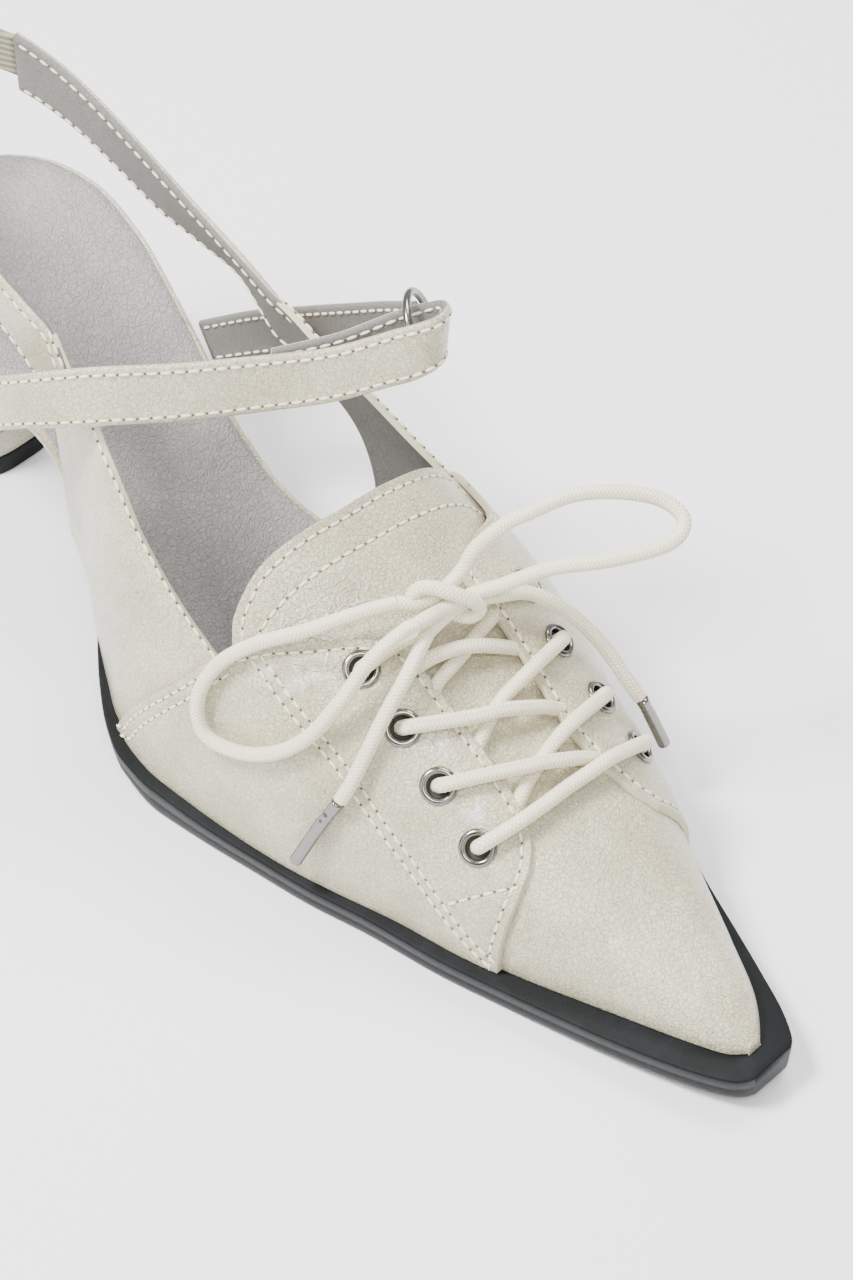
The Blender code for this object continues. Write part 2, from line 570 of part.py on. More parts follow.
def joined(name, routes, radius):
    """crossing lengths of lace run together into one solid"""
    made = []
    for i, route in enumerate(routes):
        c = cord("%s_part%d" % (name, i), route, radius, keep=False, every=1.9)
        bpy.context.view_layer.update()
        mesh = bpy.data.meshes.new_from_object(c.evaluated_get(bpy.context.evaluated_depsgraph_get()))
        bpy.data.objects.remove(c, do_unlink=True)
        mesh.name = "%s_%d" % (name, i)
        made.append(bpy.data.objects.new(mesh.name, mesh))
    body = made[0]
    body.name = name
    shoe.objects.link(body)
    body.data.materials.clear()
    mat = bpy.data.materials.new(name + "_lace_cotton")
    mat.use_nodes = True
    r, g, b, rough, metal = LOOKS["lace_cotton"]
    mat.node_tree.nodes["Principled BSDF"].inputs["Base Color"].default_value = (r, g, b, 1)
    mat.node_tree.nodes["Principled BSDF"].inputs["Roughness"].default_value = rough
    body.data.materials.append(mat)
    for other in made[1:]:
        cutters.objects.link(other)
        other.hide_render = True
        other.display_type = "WIRE"
        mod = body.modifiers.new("join", "BOOLEAN")
        mod.operation, mod.solver, mod.object = "UNION", "EXACT", other
    return body


def from_eyelet(side, k, towards, rest):
    """a length of lace that rises out of an eyelet and runs on through the given points"""
    x, v = EYELETS[side][k]
    p, n = frame_at(x, side * v, PANEL_TOP)
    go = Vector(towards) - p
    go = (go - n * go.dot(n)).normalized()
    return [p - n * 0.4, p + n * 1.5, p + n * 3.1 + go * 1.3] + [Vector(q) for q in rest]


bar_end = from_eyelet(1, 0, (204.1, 11.8, 33.0), [(204.1, 12.0, 33.4)])
cord("lace_bar_front", from_eyelet(-1, 0, (202.6, -12.4, 33.0),
     [(202.4, -12.4, 33.3), (203.1, -5.6, 33.7), (203.3, 0.3, 33.7), (203.8, 5.9, 33.8)]) + bar_end[::-1],
     LACE, every=1.9)
joined("lace_cross_3", [
    from_eyelet(-1, 1, (193.2, -10.2, 37.7), [(193.2, -10.2, 38.0), (196.6, -4.1, 37.4), (197.8, -1.1, 36.9),
                                              (199.5, 3.5, 35.6), (200.6, 7.9, 33.4)]),
    from_eyelet(1, 1, (194.9, 12.0, 37.0), [(194.9, 12.2, 37.3), (195.3, 7.6, 37.3), (195.4, 4.3, 36.2),
                                            (195.9, 1.0, 35.5), (196.9, -3.0, 34.9), (197.6, -5.2, 34.4)])], LACE)
joined("lace_cross_2", [
    from_eyelet(-1, 2, (182.6, -8.9, 43.3), [(182.6, -8.9, 43.6), (185.2, -3.9, 42.8), (186.5, -0.7, 42.3),
                                             (188.0, 2.9, 41.3), (189.4, 7.6, 39.2)]),
    from_eyelet(1, 2, (183.6, 12.0, 43.0), [(183.6, 12.2, 43.2), (183.8, 8.6, 43.0), (183.7, 5.2, 41.9),
                                            (183.9, 2.0, 41.1), (185.0, -1.8, 40.4), (185.8, -4.0, 39.9)])], LACE)
joined("lace_cross_1", [
    [(176.7, 8.6, 45.3), (175.4, 4.9, 47.3), (174.1, 1.3, 48.6), (172.9, -2.0, 48.9), (171.9, -4.3, 48.2)],
    [(172.3, 8.4, 47.1), (173.2, 4.7, 46.7), (174.1, -0.4, 46.2), (174.6, -3.9, 45.6)]], LACE)
# out of the last pair of eyelets and in under the knot
cord("lace_rise_inner", from_eyelet(-1, 3, (166.9, -10.0, 51.6),
     [(166.6, -10.4, 52.2), (167.3, -6.2, 51.7), (168.0, -2.6, 50.9)]), LACE, every=1.9)
cord("lace_rise_outer", from_eyelet(1, 3, (170.4, 15.3, 50.1),
     [(170.4, 15.3, 50.0), (169.6, 11.0, 50.6), (168.6, 7.0, 50.4)]), LACE, every=1.9)

# the bow: a knot, two loops and two ends with metal tips
KNOT = (167.4, 3.2, 56.4)
for k, (dx, dy, dz, rx, ry, rz) in enumerate([(0, 0, 0, 4.6, 5.8, 3.9), (1.6, -4.0, -0.6, 3.0, 3.4, 2.8),
                                              (1.2, 4.4, -0.9, 3.0, 3.2, 2.8)]):
    bpy.ops.mesh.primitive_uv_sphere_add(segments=14, ring_count=8, radius=MM)
    ball = bpy.context.object
    for v in ball.data.vertices:
        v.co = (v.co.x * rx, v.co.y * ry, v.co.z * rz)
    for v in ball.data.vertices:
        at = place((KNOT[0] + dx, KNOT[1] + dy, KNOT[2] + dz))
        v.co = (v.co.x + at[0], v.co.y + at[1], v.co.z + at[2])
    for c in list(ball.users_collection):
        c.objects.unlink(ball)
    if k == 0:
        ball.name = "lace_knot"
        knot = finish(ball, "lace_cotton")
    else:
        ball.name = "knot_lobe_%d" % k
        cutters.objects.link(ball)
        ball.hide_render = True
        ball.display_type = "WIRE"
        mod = knot.modifiers.new("lobe_%d" % k, "BOOLEAN")
        mod.operation, mod.solver, mod.object = "UNION", "EXACT", ball
cord("lace_loop_outer", [(166.4, 9.6, 59.0), (166.6, 12.6, 62.4), (168.8, 18.0, 66.4), (171.2, 22.0, 68.4),
     (174.5, 30.1, 69.5), (179.3, 36.8, 69.0), (185.1, 42.7, 67.0), (190.6, 43.6, 65.0), (192.1, 38.5, 63.5),
     (187.0, 29.0, 62.4), (178.8, 20.4, 60.0), (173.8, 12.4, 57.6)], LACE)
cord("lace_loop_inner", [(163.2, -5.2, 58.0), (159.6, -11.8, 57.4), (154.6, -20.2, 55.3), (147.7, -27.7, 51.5),
     (143.2, -33.2, 46.0), (141.9, -37.0, 38.6), (144.9, -38.5, 32.2), (151.9, -37.4, 32.0),
     (159.1, -34.6, 35.0), (164.4, -30.1, 40.4), (167.5, -24.1, 48.8), (168.0, -17.0, 54.9),
     (168.8, -9.0, 57.6), (169.6, -6.0, 57.9)], LACE)
cord("lace_end_inner", [(170.0, -3.6, 54.0), (171.6, -7.4, 53.6), (173.4, -12.8, 51.4), (174.4, -19.6, 46.2),
     (174.8, -24.2, 40.8), (175.0, -28.4, 35.6), (174.3, -31.0, 31.3)], LACE)
cord("lace_end_outer", [(172.0, 11.8, 53.4), (174.8, 18.4, 51.2), (179.8, 23.4, 46.4), (185.7, 27.5, 38.2),
     (191.6, 29.2, 30.6), (194.2, 30.2, 26.6)], LACE)
# metal tips
cord("lace_tip_inner", [(174.05, -31.25, 30.75), (172.0, -34.6, 24.2), (169.0, -38.2, 14.0)], 1.25)
cord("lace_tip_outer", [(194.5, 30.5, 26.0), (196.6, 31.8, 20.2), (199.0, 33.0, 13.8)], 1.25)
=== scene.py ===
"""Left lace-up slingback heel in cream crackle leather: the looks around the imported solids.
Shapes are worked out in millimetres along the shoe (x heel to toe, y to the outer side, z up)
and set down in metres by to_row()."""
import bpy
import math
from bisect import bisect_right
from functools import lru_cache
import numpy as np
from mathutils import Matrix, Vector


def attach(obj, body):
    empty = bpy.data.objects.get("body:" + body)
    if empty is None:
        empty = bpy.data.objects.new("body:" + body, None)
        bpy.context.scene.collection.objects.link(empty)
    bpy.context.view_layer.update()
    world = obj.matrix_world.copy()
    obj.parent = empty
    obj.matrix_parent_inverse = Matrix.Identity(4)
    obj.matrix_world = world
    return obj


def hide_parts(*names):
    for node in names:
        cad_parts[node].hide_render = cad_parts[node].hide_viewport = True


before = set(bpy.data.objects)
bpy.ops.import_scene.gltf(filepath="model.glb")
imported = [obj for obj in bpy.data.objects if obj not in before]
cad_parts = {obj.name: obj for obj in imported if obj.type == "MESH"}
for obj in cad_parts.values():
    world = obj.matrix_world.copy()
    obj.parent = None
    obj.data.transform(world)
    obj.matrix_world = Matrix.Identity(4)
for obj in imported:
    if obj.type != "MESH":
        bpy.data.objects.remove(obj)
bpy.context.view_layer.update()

MM = 0.001
MIDDLE = Vector((139.475, -0.9, 0.0))   # middle of the shoe's box, millimetres along the shoe


def to_row(p):
    """point in metres in the shared frame from one in millimetres along the shoe"""
    return (Vector(p) - MIDDLE) * MM


# Camera
# Stands over the toe on the inner side, 50 degrees up, as the photo's did. The lens is long,
# so the shoe keeps its proportions.
AZIMUTH, ELEVATION, ROLL = math.radians(45), math.radians(50), math.radians(0.3)
LOOKS_AT, FAR = Vector((151, 15, 20)), 800.0
back = Vector((math.sin(AZIMUTH) * math.cos(ELEVATION), -math.cos(AZIMUTH) * math.cos(ELEVATION),
               math.sin(ELEVATION)))
right = (-back).cross(Vector((0, 0, 1))).normalized()
up = right.cross(-back)
right, up = (right * math.cos(ROLL) + up * math.sin(ROLL), up * math.cos(ROLL) - right * math.sin(ROLL))
lens = bpy.data.cameras.new("camera")
lens.sensor_fit, lens.sensor_width, lens.lens = "HORIZONTAL", 36, 170.8
lens.clip_end = 20
camera = bpy.data.objects.new("camera", lens)
turn = Matrix((right, up, back)).transposed().to_4x4()
camera.matrix_world = Matrix.Translation(to_row(LOOKS_AT + back * FAR)) @ turn
bpy.context.scene.collection.objects.link(camera)
bpy.context.scene.camera = camera


# Floor and light
# A plain pale sweep. The strongest light stands over the heel on the inner side, a small one
# behind the camera puts the gloss on the facing, and the rest fill in.
def linear(hexa):
    """sRGB hex colour as linear red, green, blue"""
    part = [int(hexa[i:i + 2], 16) / 255 for i in (1, 3, 5)]
    return tuple(c / 12.92 if c <= 0.04045 else ((c + 0.055) / 1.055) ** 2.4 for c in part) + (1.0,)


def node(tree, kind, inputs=None, **settings):
    """adds a node; an input takes a value, a hex colour, a socket, or a node for its first output"""
    made = tree.nodes.new(kind)
    for key, value in settings.items():
        setattr(made, key, value)
    for key, value in (inputs or {}).items():
        if isinstance(value, bpy.types.Node):
            value = value.outputs[0]
        if isinstance(value, bpy.types.NodeSocket):
            tree.links.new(value, made.inputs[key])
        else:
            is_colour = isinstance(value, str) and value.startswith("#")
            made.inputs[key].default_value = linear(value) if is_colour else value
    return made


def plain_material(name, hexa, rough, **more):
    """material of one colour and roughness, with its tree and shader to build on"""
    mat = bpy.data.materials.new(name)
    mat.use_nodes = True
    shader = mat.node_tree.nodes["Principled BSDF"]
    shader.inputs["Base Color"].default_value = linear(hexa)
    shader.inputs["Roughness"].default_value = rough
    for key, value in more.items():
        shader.inputs[key.replace("_", " ")].default_value = value
    return mat, mat.node_tree, shader


# Matt paper, which takes soft shadows and no shine.
floor_mesh = bpy.data.meshes.new("floor")
floor_mesh.from_pydata([(-3, -3, 0), (3, -3, 0), (3, 3, 0), (-3, 3, 0)], [], [(0, 1, 2, 3)])
floor = bpy.data.objects.new("floor", floor_mesh)
floor_mesh.materials.append(plain_material("pale paper", "#F0F0F2", 0.9)[0])
bpy.context.scene.collection.objects.link(floor)


def area_light(name, at, aim, width, height, power):
    """soft box of light that stands at one point and faces another"""
    lamp = bpy.data.lights.new(name, "AREA")
    lamp.shape, lamp.size, lamp.size_y, lamp.energy = "RECTANGLE", width, height, power
    ob = bpy.data.objects.new(name, lamp)
    ob.location = at
    ob.rotation_euler = (Vector(aim) - Vector(at)).to_track_quat("-Z", "Y").to_euler()
    bpy.context.scene.collection.objects.link(ob)


area_light("key_light", (0.45, -0.38, 0.98), (0.02, 0, 0.03), 0.30, 0.30, 6.5)
area_light("heel_light", (-0.30, -0.40, 0.90), (0.02, 0, 0.03), 0.26, 0.26, 22.0)
area_light("back_light", (-0.15, 0.55, 0.95), (0, 0, 0.03), 0.6, 0.4, 12.0)
area_light("fill_light", (0.75, -0.55, 0.55), (0, 0, 0.03), 0.6, 0.6, 2.2)
area_light("side_light", (-0.35, -0.8, 0.5), (0, 0, 0.03), 0.5, 0.5, 2.0)
# Black cards seen only in reflections give the metal its dark streaks.
felt = plain_material("black felt", "#0A0A0A", 1.0)[0]
for k, (at, w, h) in enumerate((((-0.55, -0.35, 0.22), 0.25, 0.15), ((0.45, 0.60, 0.30), 0.25, 0.18),
                                ((0.50, -0.70, 0.30), 0.12, 0.25))):
    card_mesh = bpy.data.meshes.new("flag")
    card_mesh.from_pydata([(-w, -h, 0), (w, -h, 0), (w, h, 0), (-w, h, 0)], [], [(0, 1, 2, 3)])
    card_mesh.materials.append(felt)
    card = bpy.data.objects.new("flag_%d" % (k + 1), card_mesh)
    card.matrix_world = Matrix.Translation(at) @ (-Vector(at)).to_track_quat("Z", "Y").to_matrix().to_4x4()
    card.visible_camera = card.visible_diffuse = card.visible_shadow = False
    bpy.context.scene.collection.objects.link(card)
world = bpy.data.worlds.new("studio")
world.use_nodes = True
world.node_tree.nodes["Background"].inputs["Color"].default_value = linear("#F6F6F8")
world.node_tree.nodes["Background"].inputs["Strength"].default_value = 0.8
bpy.context.scene.world = world


# The last
# The form that the shoe was made on. Each row gives x, the inner and outer feather line,
# the ridge's y and z, and how full the section is on each side.
class Row:
    """smooth table: value against x, no overshoot between rows"""
    def __init__(self, xs, vs):
        self.x, self.v = [float(a) for a in xs], [float(a) for a in vs]
        n = len(self.x)
        d = [(self.v[i + 1] - self.v[i]) / (self.x[i + 1] - self.x[i]) for i in range(n - 1)]
        m = [0.0] * n
        for i in range(1, n - 1):
            if d[i - 1] * d[i] > 0:
                h0, h1 = self.x[i] - self.x[i - 1], self.x[i + 1] - self.x[i]
                w1, w2 = 2 * h1 + h0, h1 + 2 * h0
                m[i] = (w1 + w2) / (w1 / d[i - 1] + w2 / d[i])
        m[0], m[-1] = d[0], d[-1]
        self.m = m

    def __call__(self, x):
        if x <= self.x[0]:
            return self.v[0]
        if x >= self.x[-1]:
            return self.v[-1]
        i = bisect_right(self.x, x) - 1
        h = self.x[i + 1] - self.x[i]
        t = (x - self.x[i]) / h
        return ((2 * t ** 3 - 3 * t * t + 1) * self.v[i] + (t ** 3 - 2 * t * t + t) * h * self.m[i]
                + (-2 * t ** 3 + 3 * t * t) * self.v[i + 1] + (t ** 3 - t * t) * h * self.m[i + 1])


def rows(table):
    """one smooth table for each column after the first, which is x"""
    cols = list(zip(*table))
    return [Row(cols[0], c) for c in cols[1:]]


LAST = [
    (84, -21.5, 25.0, 3.0, 131.0, 2.3, 2.5), (95, -25.0, 26.5, 3.0, 113.0, 2.3, 2.6),
    (105, -31.0, 28.5, 3.0, 99.0, 2.3, 2.7), (112, -35.0, 30.0, 3.0, 90.0, 2.3, 2.7),
    (119, -38.3, 32.5, 3.2, 82.0, 2.3, 2.7), (129, -39.2, 35.5, 3.3, 72.5, 2.3, 2.7),
    (140, -38.2, 37.6, 3.4, 64.5, 2.35, 2.7), (152, -36.9, 38.2, 3.3, 57.6, 2.35, 2.7),
    (164, -35.2, 37.4, 3.0, 51.2, 2.35, 2.7), (175, -32.7, 35.0, 2.5, 45.0, 2.35, 2.65),
    (189, -29.0, 30.8, 1.5, 37.6, 2.35, 2.6), (203, -26.2, 26.2, 0.2, 31.0, 2.3, 2.55),
    (215, -22.9, 21.2, -1.3, 26.0, 2.3, 2.45), (228, -18.6, 15.0, -2.8, 21.4, 2.3, 2.35),
    (240, -14.6, 9.0, -4.0, 17.8, 2.3, 2.3), (250, -11.2, 3.6, -4.7, 14.9, 2.3, 2.3),
    (255, -9.0, -0.6, -4.9, 12.6, 2.3, 2.3), (257.4, -6.6, -3.2, -4.9, 10.4, 2.3, 2.3)]
feather_in, feather_out, ridge_y, ridge_z, full_in, full_out = rows(LAST)

# sole: x, inner-side edge, outer-side edge, top z, bottom z before the toe spring
SOLE = [
    (21.2, -4.0, 9.0, 59.3, 56.9), (22.2, -9.0, 14.0, 59.3, 56.8), (24.5, -14.0, 19.0, 59.2, 56.7),
    (28.5, -18.2, 23.2, 59.0, 56.4), (35, -21.4, 26.4, 58.5, 55.8), (45, -22.8, 27.6, 56.7, 54.0),
    (55, -21.8, 26.8, 53.0, 50.3), (65, -18.6, 24.8, 48.2, 45.5), (75, -15.8, 22.8, 42.2, 39.5),
    (85, -17.0, 20.6, 35.4, 32.6), (95, -22.5, 19.8, 28.4, 25.5), (103, -29.2, 20.8, 22.6, 19.4),
    (111, -36.2, 24.0, 17.2, 13.6), (118, -40.8, 28.6, 13.1, 8.7), (124, -42.9, 33.0, 10.3, 4.6),
    (130, -43.0, 36.6, 8.3, 1.4), (136, -42.3, 39.2, 7.3, 0.0), (145, -41.2, 40.9, 6.4, 0.0),
    (157, -39.3, 41.2, 6.0, 0.0), (170, -37.2, 39.2, 6.0, 0.0), (184, -33.9, 35.2, 6.0, 0.0),
    (200, -31.0, 29.4, 6.0, 0.0), (213, -27.8, 23.8, 6.0, 0.0), (224, -25.0, 18.8, 6.0, 0.0),
    (236, -21.8, 14.0, 6.0, 0.0), (247, -18.4, 9.4, 6.0, 0.0), (255, -15.4, 5.8, 6.0, 0.0),
    (259.3, -13.2, 3.2, 6.0, 0.0), (261.2, -11.4, 1.6, 6.0, 0.0), (262, -9.8, 0.2, 6.0, 0.0)]
sole_in, sole_out, sole_top_flat, sole_bottom_flat = rows(SOLE)
TOE_SPRING, SPRING_FROM, TOE_X = 3.0, 195.0, 262.0
SEAT_GAP, WALL = 0.3, 1.5


def spring(x):
    """how far the toe has lifted off the ground at x"""
    return TOE_SPRING * min(max((x - SPRING_FROM) / (TOE_X - SPRING_FROM), 0.0), 1.0) ** 1.8


@lru_cache(None)
def section(x):
    """ridge y, ridge z, floor z, inner and outer half widths and powers of the section at x"""
    mid = ridge_y(x)
    return (mid, ridge_z(x), sole_top_flat(x) + spring(x) + SEAT_GAP, mid - feather_in(x),
            feather_out(x) - mid, 2 / full_in(x), 2 / full_out(x))


def last_point(x, v, off=0.0):
    """point of the upper at x; v runs -1 inner feather, 0 ridge, +1 outer feather"""
    mid, top, low, wide_in, wide_out, p_in, p_out = section(x)
    th = (1 - abs(v)) * math.pi / 2
    side, w, power = (-1, wide_in, p_in) if v < 0 else (1, wide_out, p_out)
    w, h = max(w + off, 0.5), max(top - low + off * 1.1, 0.5)
    return Vector((x, mid + side * w * max(math.cos(th), 0.0) ** power,
                   low + h * max(math.sin(th), 0.0) ** power))


def v_at(x, z, side):
    """section parameter at height z on the inner (-1) or outer (+1) side"""
    mid, top, low, wide_in, wide_out, p_in, p_out = section(x)
    share = min(max((z - low) / (top - low), 0.0), 1.0)
    return side * (1 - math.asin(share ** (1 / (p_in if side < 0 else p_out))) * 2 / math.pi)


def frame_at(x, v, off):
    """point and outward normal of the surface that lies off above the last"""
    p = last_point(x, v, off)
    n = (last_point(x + 0.4, v, off) - last_point(x - 0.4, v, off)).cross(
        last_point(x, v + 0.01, off) - last_point(x, v - 0.01, off)).normalized()
    return p, (n if n.z > 0 else -n)


# Laces
# One round braided cotton lace, 2.9 mm thick and waxed, tied in a bow over the tongue. Each
# end is pinched in a rolled metal tube. The bow is loose, the rest is drawn tight.
LACE = 1.45            # half the lace's thickness


def smooth_path(points, step):
    """points every step millimetres on a smooth curve through the given ones"""
    p = np.array([list(q) for q in points], float)
    p = np.vstack([2 * p[0] - p[1], p, 2 * p[-1] - p[-2]])
    out = []
    for i in range(1, len(p) - 2):
        a, b, c, d = p[i - 1:i + 3]
        for t in np.arange(0, 1, 1 / 24):
            out.append(0.5 * (2 * b + (c - a) * t + (2 * a - 5 * b + 4 * c - d) * t * t
                              + (3 * b - a - 3 * c + d) * t ** 3))
    out = np.array(out + [p[-2]])
    run = np.concatenate([[0], np.cumsum(np.linalg.norm(np.diff(out, axis=0), axis=1))])
    at = np.linspace(0, run[-1], max(int(round(run[-1] / step)), 2) + 1)
    return np.stack([np.interp(at, run, out[:, k]) for k in range(3)], 1)


def sweep(path):
    """a steady pair of side directions along the path"""
    run = np.gradient(path, axis=0)
    run /= np.linalg.norm(run, axis=1)[:, None]
    side = np.cross(run[0], [0.3, 0.2, 1.0])
    sides = []
    for t in run:
        side = side - t * side.dot(t)
        side /= np.linalg.norm(side)
        sides.append(side)
    sides = np.array(sides)
    return sides, np.cross(run, sides)


def make_mesh(name, points, faces, materials, which=None, uvs=None):
    """mesh object from points in millimetres along the shoe"""
    mesh = bpy.data.meshes.new(name)
    pts = (np.asarray(points, float) - np.array(MIDDLE)) * MM
    mesh.from_pydata(pts.tolist(), [], [tuple(int(i) for i in f) for f in faces])
    for m in materials:
        mesh.materials.append(m)
    if which is not None:
        mesh.polygons.foreach_set("material_index", np.asarray(which, np.int32))
    if uvs is not None:
        layer = mesh.uv_layers.new(name="surface")
        loops = np.zeros(len(mesh.loops), np.int32)
        mesh.loops.foreach_get("vertex_index", loops)
        layer.data.foreach_set("uv", np.asarray(uvs, np.float32)[loops].ravel())
    mesh.polygons.foreach_set("use_smooth", [True] * len(mesh.polygons))
    mesh.update()
    ob = bpy.data.objects.new(name, mesh)
    bpy.context.scene.collection.objects.link(ob)
    return ob


BRAID_PITCH, BRAID_TURNS = 0.8, 6        # millimetres along per strand, strands round


def tube(name, path, radius, material, braid=0.0, sides=24):
    """closed tube on the path; braid is how far the strands stand out"""
    path = np.asarray(path)
    a, b = sweep(path)
    n = len(path)
    run = np.concatenate([[0], np.cumsum(np.linalg.norm(np.diff(path, axis=0), axis=1))])
    turn_at = np.arange(sides) * 2 * math.pi / sides
    r = np.full((n, sides), float(radius)) if np.isscalar(radius) else np.repeat(
        np.asarray(radius)[:, None], sides, 1)
    if braid:
        u, w = run[:, None] / BRAID_PITCH, turn_at[None, :] / (2 * math.pi) * BRAID_TURNS
        one, two = u + w, u - w
        over = (np.floor(one) + np.floor(two)) % 2
        ridge = np.where(over > 0.5, np.abs(np.sin(math.pi * one)), np.abs(np.sin(math.pi * two)))
        r += braid * (ridge - 0.8)
    points = path[:, None] + r[..., None] * (np.cos(turn_at)[None, :, None] * a[:, None]
                                             + np.sin(turn_at)[None, :, None] * b[:, None])
    faces = [(i * sides + j, i * sides + (j + 1) % sides, (i + 1) * sides + (j + 1) % sides,
              (i + 1) * sides + j) for i in range(n - 1) for j in range(sides)]
    faces = [f[::-1] for f in faces] if np.cross(a[0], b[0]).dot(path[1] - path[0]) < 0 else faces
    first, last = tuple(range(sides)), tuple((n - 1) * sides + j for j in range(sides))
    faces += [first[::-1], last]
    uvs = np.stack([np.repeat(run, sides), np.tile(turn_at / (2 * math.pi), n)], 1)
    return make_mesh(name, points.reshape(-1, 3), faces, [material], uvs=uvs)


# Waxed cotton: a faint sheen, each strand light over a groove painted darker as shade. The strands are drawn
# a little coarser than real ones, so that the braid shows.
cotton, tree, shader = plain_material("waxed cotton", "#EDEBE0", 0.55, Sheen_Weight=0.2)
where = node(tree, "ShaderNodeTexCoord").outputs["Object"]
strand = node(tree, "ShaderNodeSeparateXYZ", {0: node(tree, "ShaderNodeUVMap", uv_map="surface")})
along_it = node(tree, "ShaderNodeMath", {0: strand.outputs[0], 1: BRAID_PITCH}, operation="DIVIDE")
round_it = node(tree, "ShaderNodeMath", {0: strand.outputs[1], 1: BRAID_TURNS}, operation="MULTIPLY")
waves = []
for way in ("ADD", "SUBTRACT"):
    turns = node(tree, "ShaderNodeMath", {0: along_it, 1: round_it}, operation=way)
    angle = node(tree, "ShaderNodeMath", {0: turns, 1: math.pi}, operation="MULTIPLY")
    wave = node(tree, "ShaderNodeMath", {0: angle}, operation="SINE")
    waves.append(node(tree, "ShaderNodeMath", {0: wave}, operation="ABSOLUTE"))
woven = node(tree, "ShaderNodeMath", {0: waves[0], 1: waves[1]}, operation="MULTIPLY")
groove = node(tree, "ShaderNodeMath", {0: woven, 1: 0.45}, operation="POWER")
fuzz = node(tree, "ShaderNodeTexNoise", {"Vector": where, "Scale": 2600.0, "Detail": 3.0})
# the grooves between strands are painted darker, as shade
tone = node(tree, "ShaderNodeMix", {0: groove, 6: "#D2C8A8", 7: "#F3EBD2"}, data_type="RGBA")
tree.links.new(tone.outputs[2], shader.inputs["Base Color"])
height = node(tree, "ShaderNodeMath", {0: fuzz, 1: 0.5, 2: groove}, operation="MULTIPLY_ADD")
bump = node(tree, "ShaderNodeBump", {"Height": height, "Strength": 0.5, "Distance": 0.0002})
tree.links.new(bump.outputs["Normal"], shader.inputs["Normal"])

# Polished steel: a clear reflection, duller in small patches where it is worn.
steel, tree, shader = plain_material("polished steel", "#83827E", 0.14, Metallic=1.0)
where = node(tree, "ShaderNodeTexCoord").outputs["Object"]
wear = node(tree, "ShaderNodeTexNoise", {"Vector": where, "Scale": 700.0, "Detail": 4.0})
rough = node(tree, "ShaderNodeMapRange", {"Value": wear, "From Min": 0.3, "From Max": 0.8,
                                          "To Min": 0.12, "To Max": 0.3})
tree.links.new(rough.outputs["Result"], shader.inputs["Roughness"])

LACE_STEP, BRAID = 0.2, 0.16
LOOP_OUTER = [(166.4, 9.6, 59.0), (166.6, 12.6, 62.4), (168.8, 18.0, 66.4), (171.2, 22.0, 68.4),
              (174.5, 30.1, 69.5), (179.3, 36.8, 69.0), (185.1, 42.7, 67.0), (190.6, 43.6, 65.0),
              (192.1, 38.5, 63.5), (187.0, 29.0, 62.4), (178.8, 20.4, 60.0), (173.8, 12.4, 57.6)]
LOOP_INNER = [(163.2, -5.2, 58.0), (159.6, -11.8, 57.4), (154.6, -20.2, 55.3), (147.7, -27.7, 51.5),
              (143.2, -33.2, 46.0), (141.9, -37.0, 38.6), (144.9, -38.5, 32.2), (151.9, -37.4, 32.0),
              (159.1, -34.6, 35.0), (164.4, -30.1, 40.4), (167.5, -24.1, 48.8), (168.0, -17.0, 54.9),
              (168.8, -9.0, 57.6), (169.6, -6.0, 57.9)]
END_INNER = [(170.0, -3.6, 54.0), (171.6, -7.4, 53.6), (173.4, -12.8, 51.4), (174.4, -19.6, 46.2),
             (174.8, -24.2, 40.8), (175.0, -28.4, 35.6), (174.3, -31.0, 31.3)]
END_OUTER = [(172.0, 11.8, 53.4), (174.8, 18.4, 51.2), (179.8, 23.4, 46.4), (185.7, 27.5, 38.2),
             (191.6, 29.2, 30.6), (194.2, 30.2, 26.6)]
TIP_INNER = [(174.05, -31.25, 30.75), (172.0, -34.6, 24.2), (169.0, -38.2, 14.0)]
TIP_OUTER = [(194.5, 30.5, 26.0), (196.6, 31.8, 20.2), (199.0, 33.0, 13.8)]
TIP_R = 1.28           # half the thickness of the metal tubes


def dress(ob, slot, *nodes):
    """the piece rides on the shoe and stands for the solids named, which it hides; slot is not used"""
    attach(ob, "root")
    if nodes:
        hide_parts(*nodes)
    return ob


def lace_tip(name, points):
    """rolled metal tube with a crimped waist and a folded lip"""
    path = smooth_path(points, 0.35)
    share = np.linspace(0, 1, len(path))
    crimps = sum(deep * np.exp(-((share - at) / 0.03) ** 2) for at, deep in ((0.16, 0.14), (0.25, 0.10)))
    lip = 0.35 * np.clip((share - 0.965) / 0.035, 0, 1) ** 2
    return dress(tube(name, path, TIP_R - crimps - lip, steel), "polished_metal", name)


tip_inner, tip_outer = lace_tip("lace_tip_inner", TIP_INNER), lace_tip("lace_tip_outer", TIP_OUTER)
for name, points, far_end, pieces in (
        ("lace_loop_outer", LOOP_OUTER, "knot", []), ("lace_loop_inner", LOOP_INNER, "knot", []),
        ("lace_end_inner", END_INNER, "fitting", [tip_inner]),
        ("lace_end_outer", END_OUTER, "fitting", [tip_outer])):
    path = smooth_path(points, LACE_STEP)
    lace = dress(tube(name, path, LACE, cotton, BRAID), "lace_cotton", name)

# The lace between the eyelets: it comes up out of one eyelet, crosses the tongue and goes in
# under the opposite facing.
PANEL_TOP = 1.4        # the panels' outer face above the last
# (x, v) of the eyelets on the inner side -1 and the outer side 1, the front one first
EYELETS = {-1: [(198.8, .441), (187.0, .365), (176.1, .307), (164.5, .274)],
           1: [(202.2, .524), (192.1, .408), (180.5, .336), (169.7, .336)]}


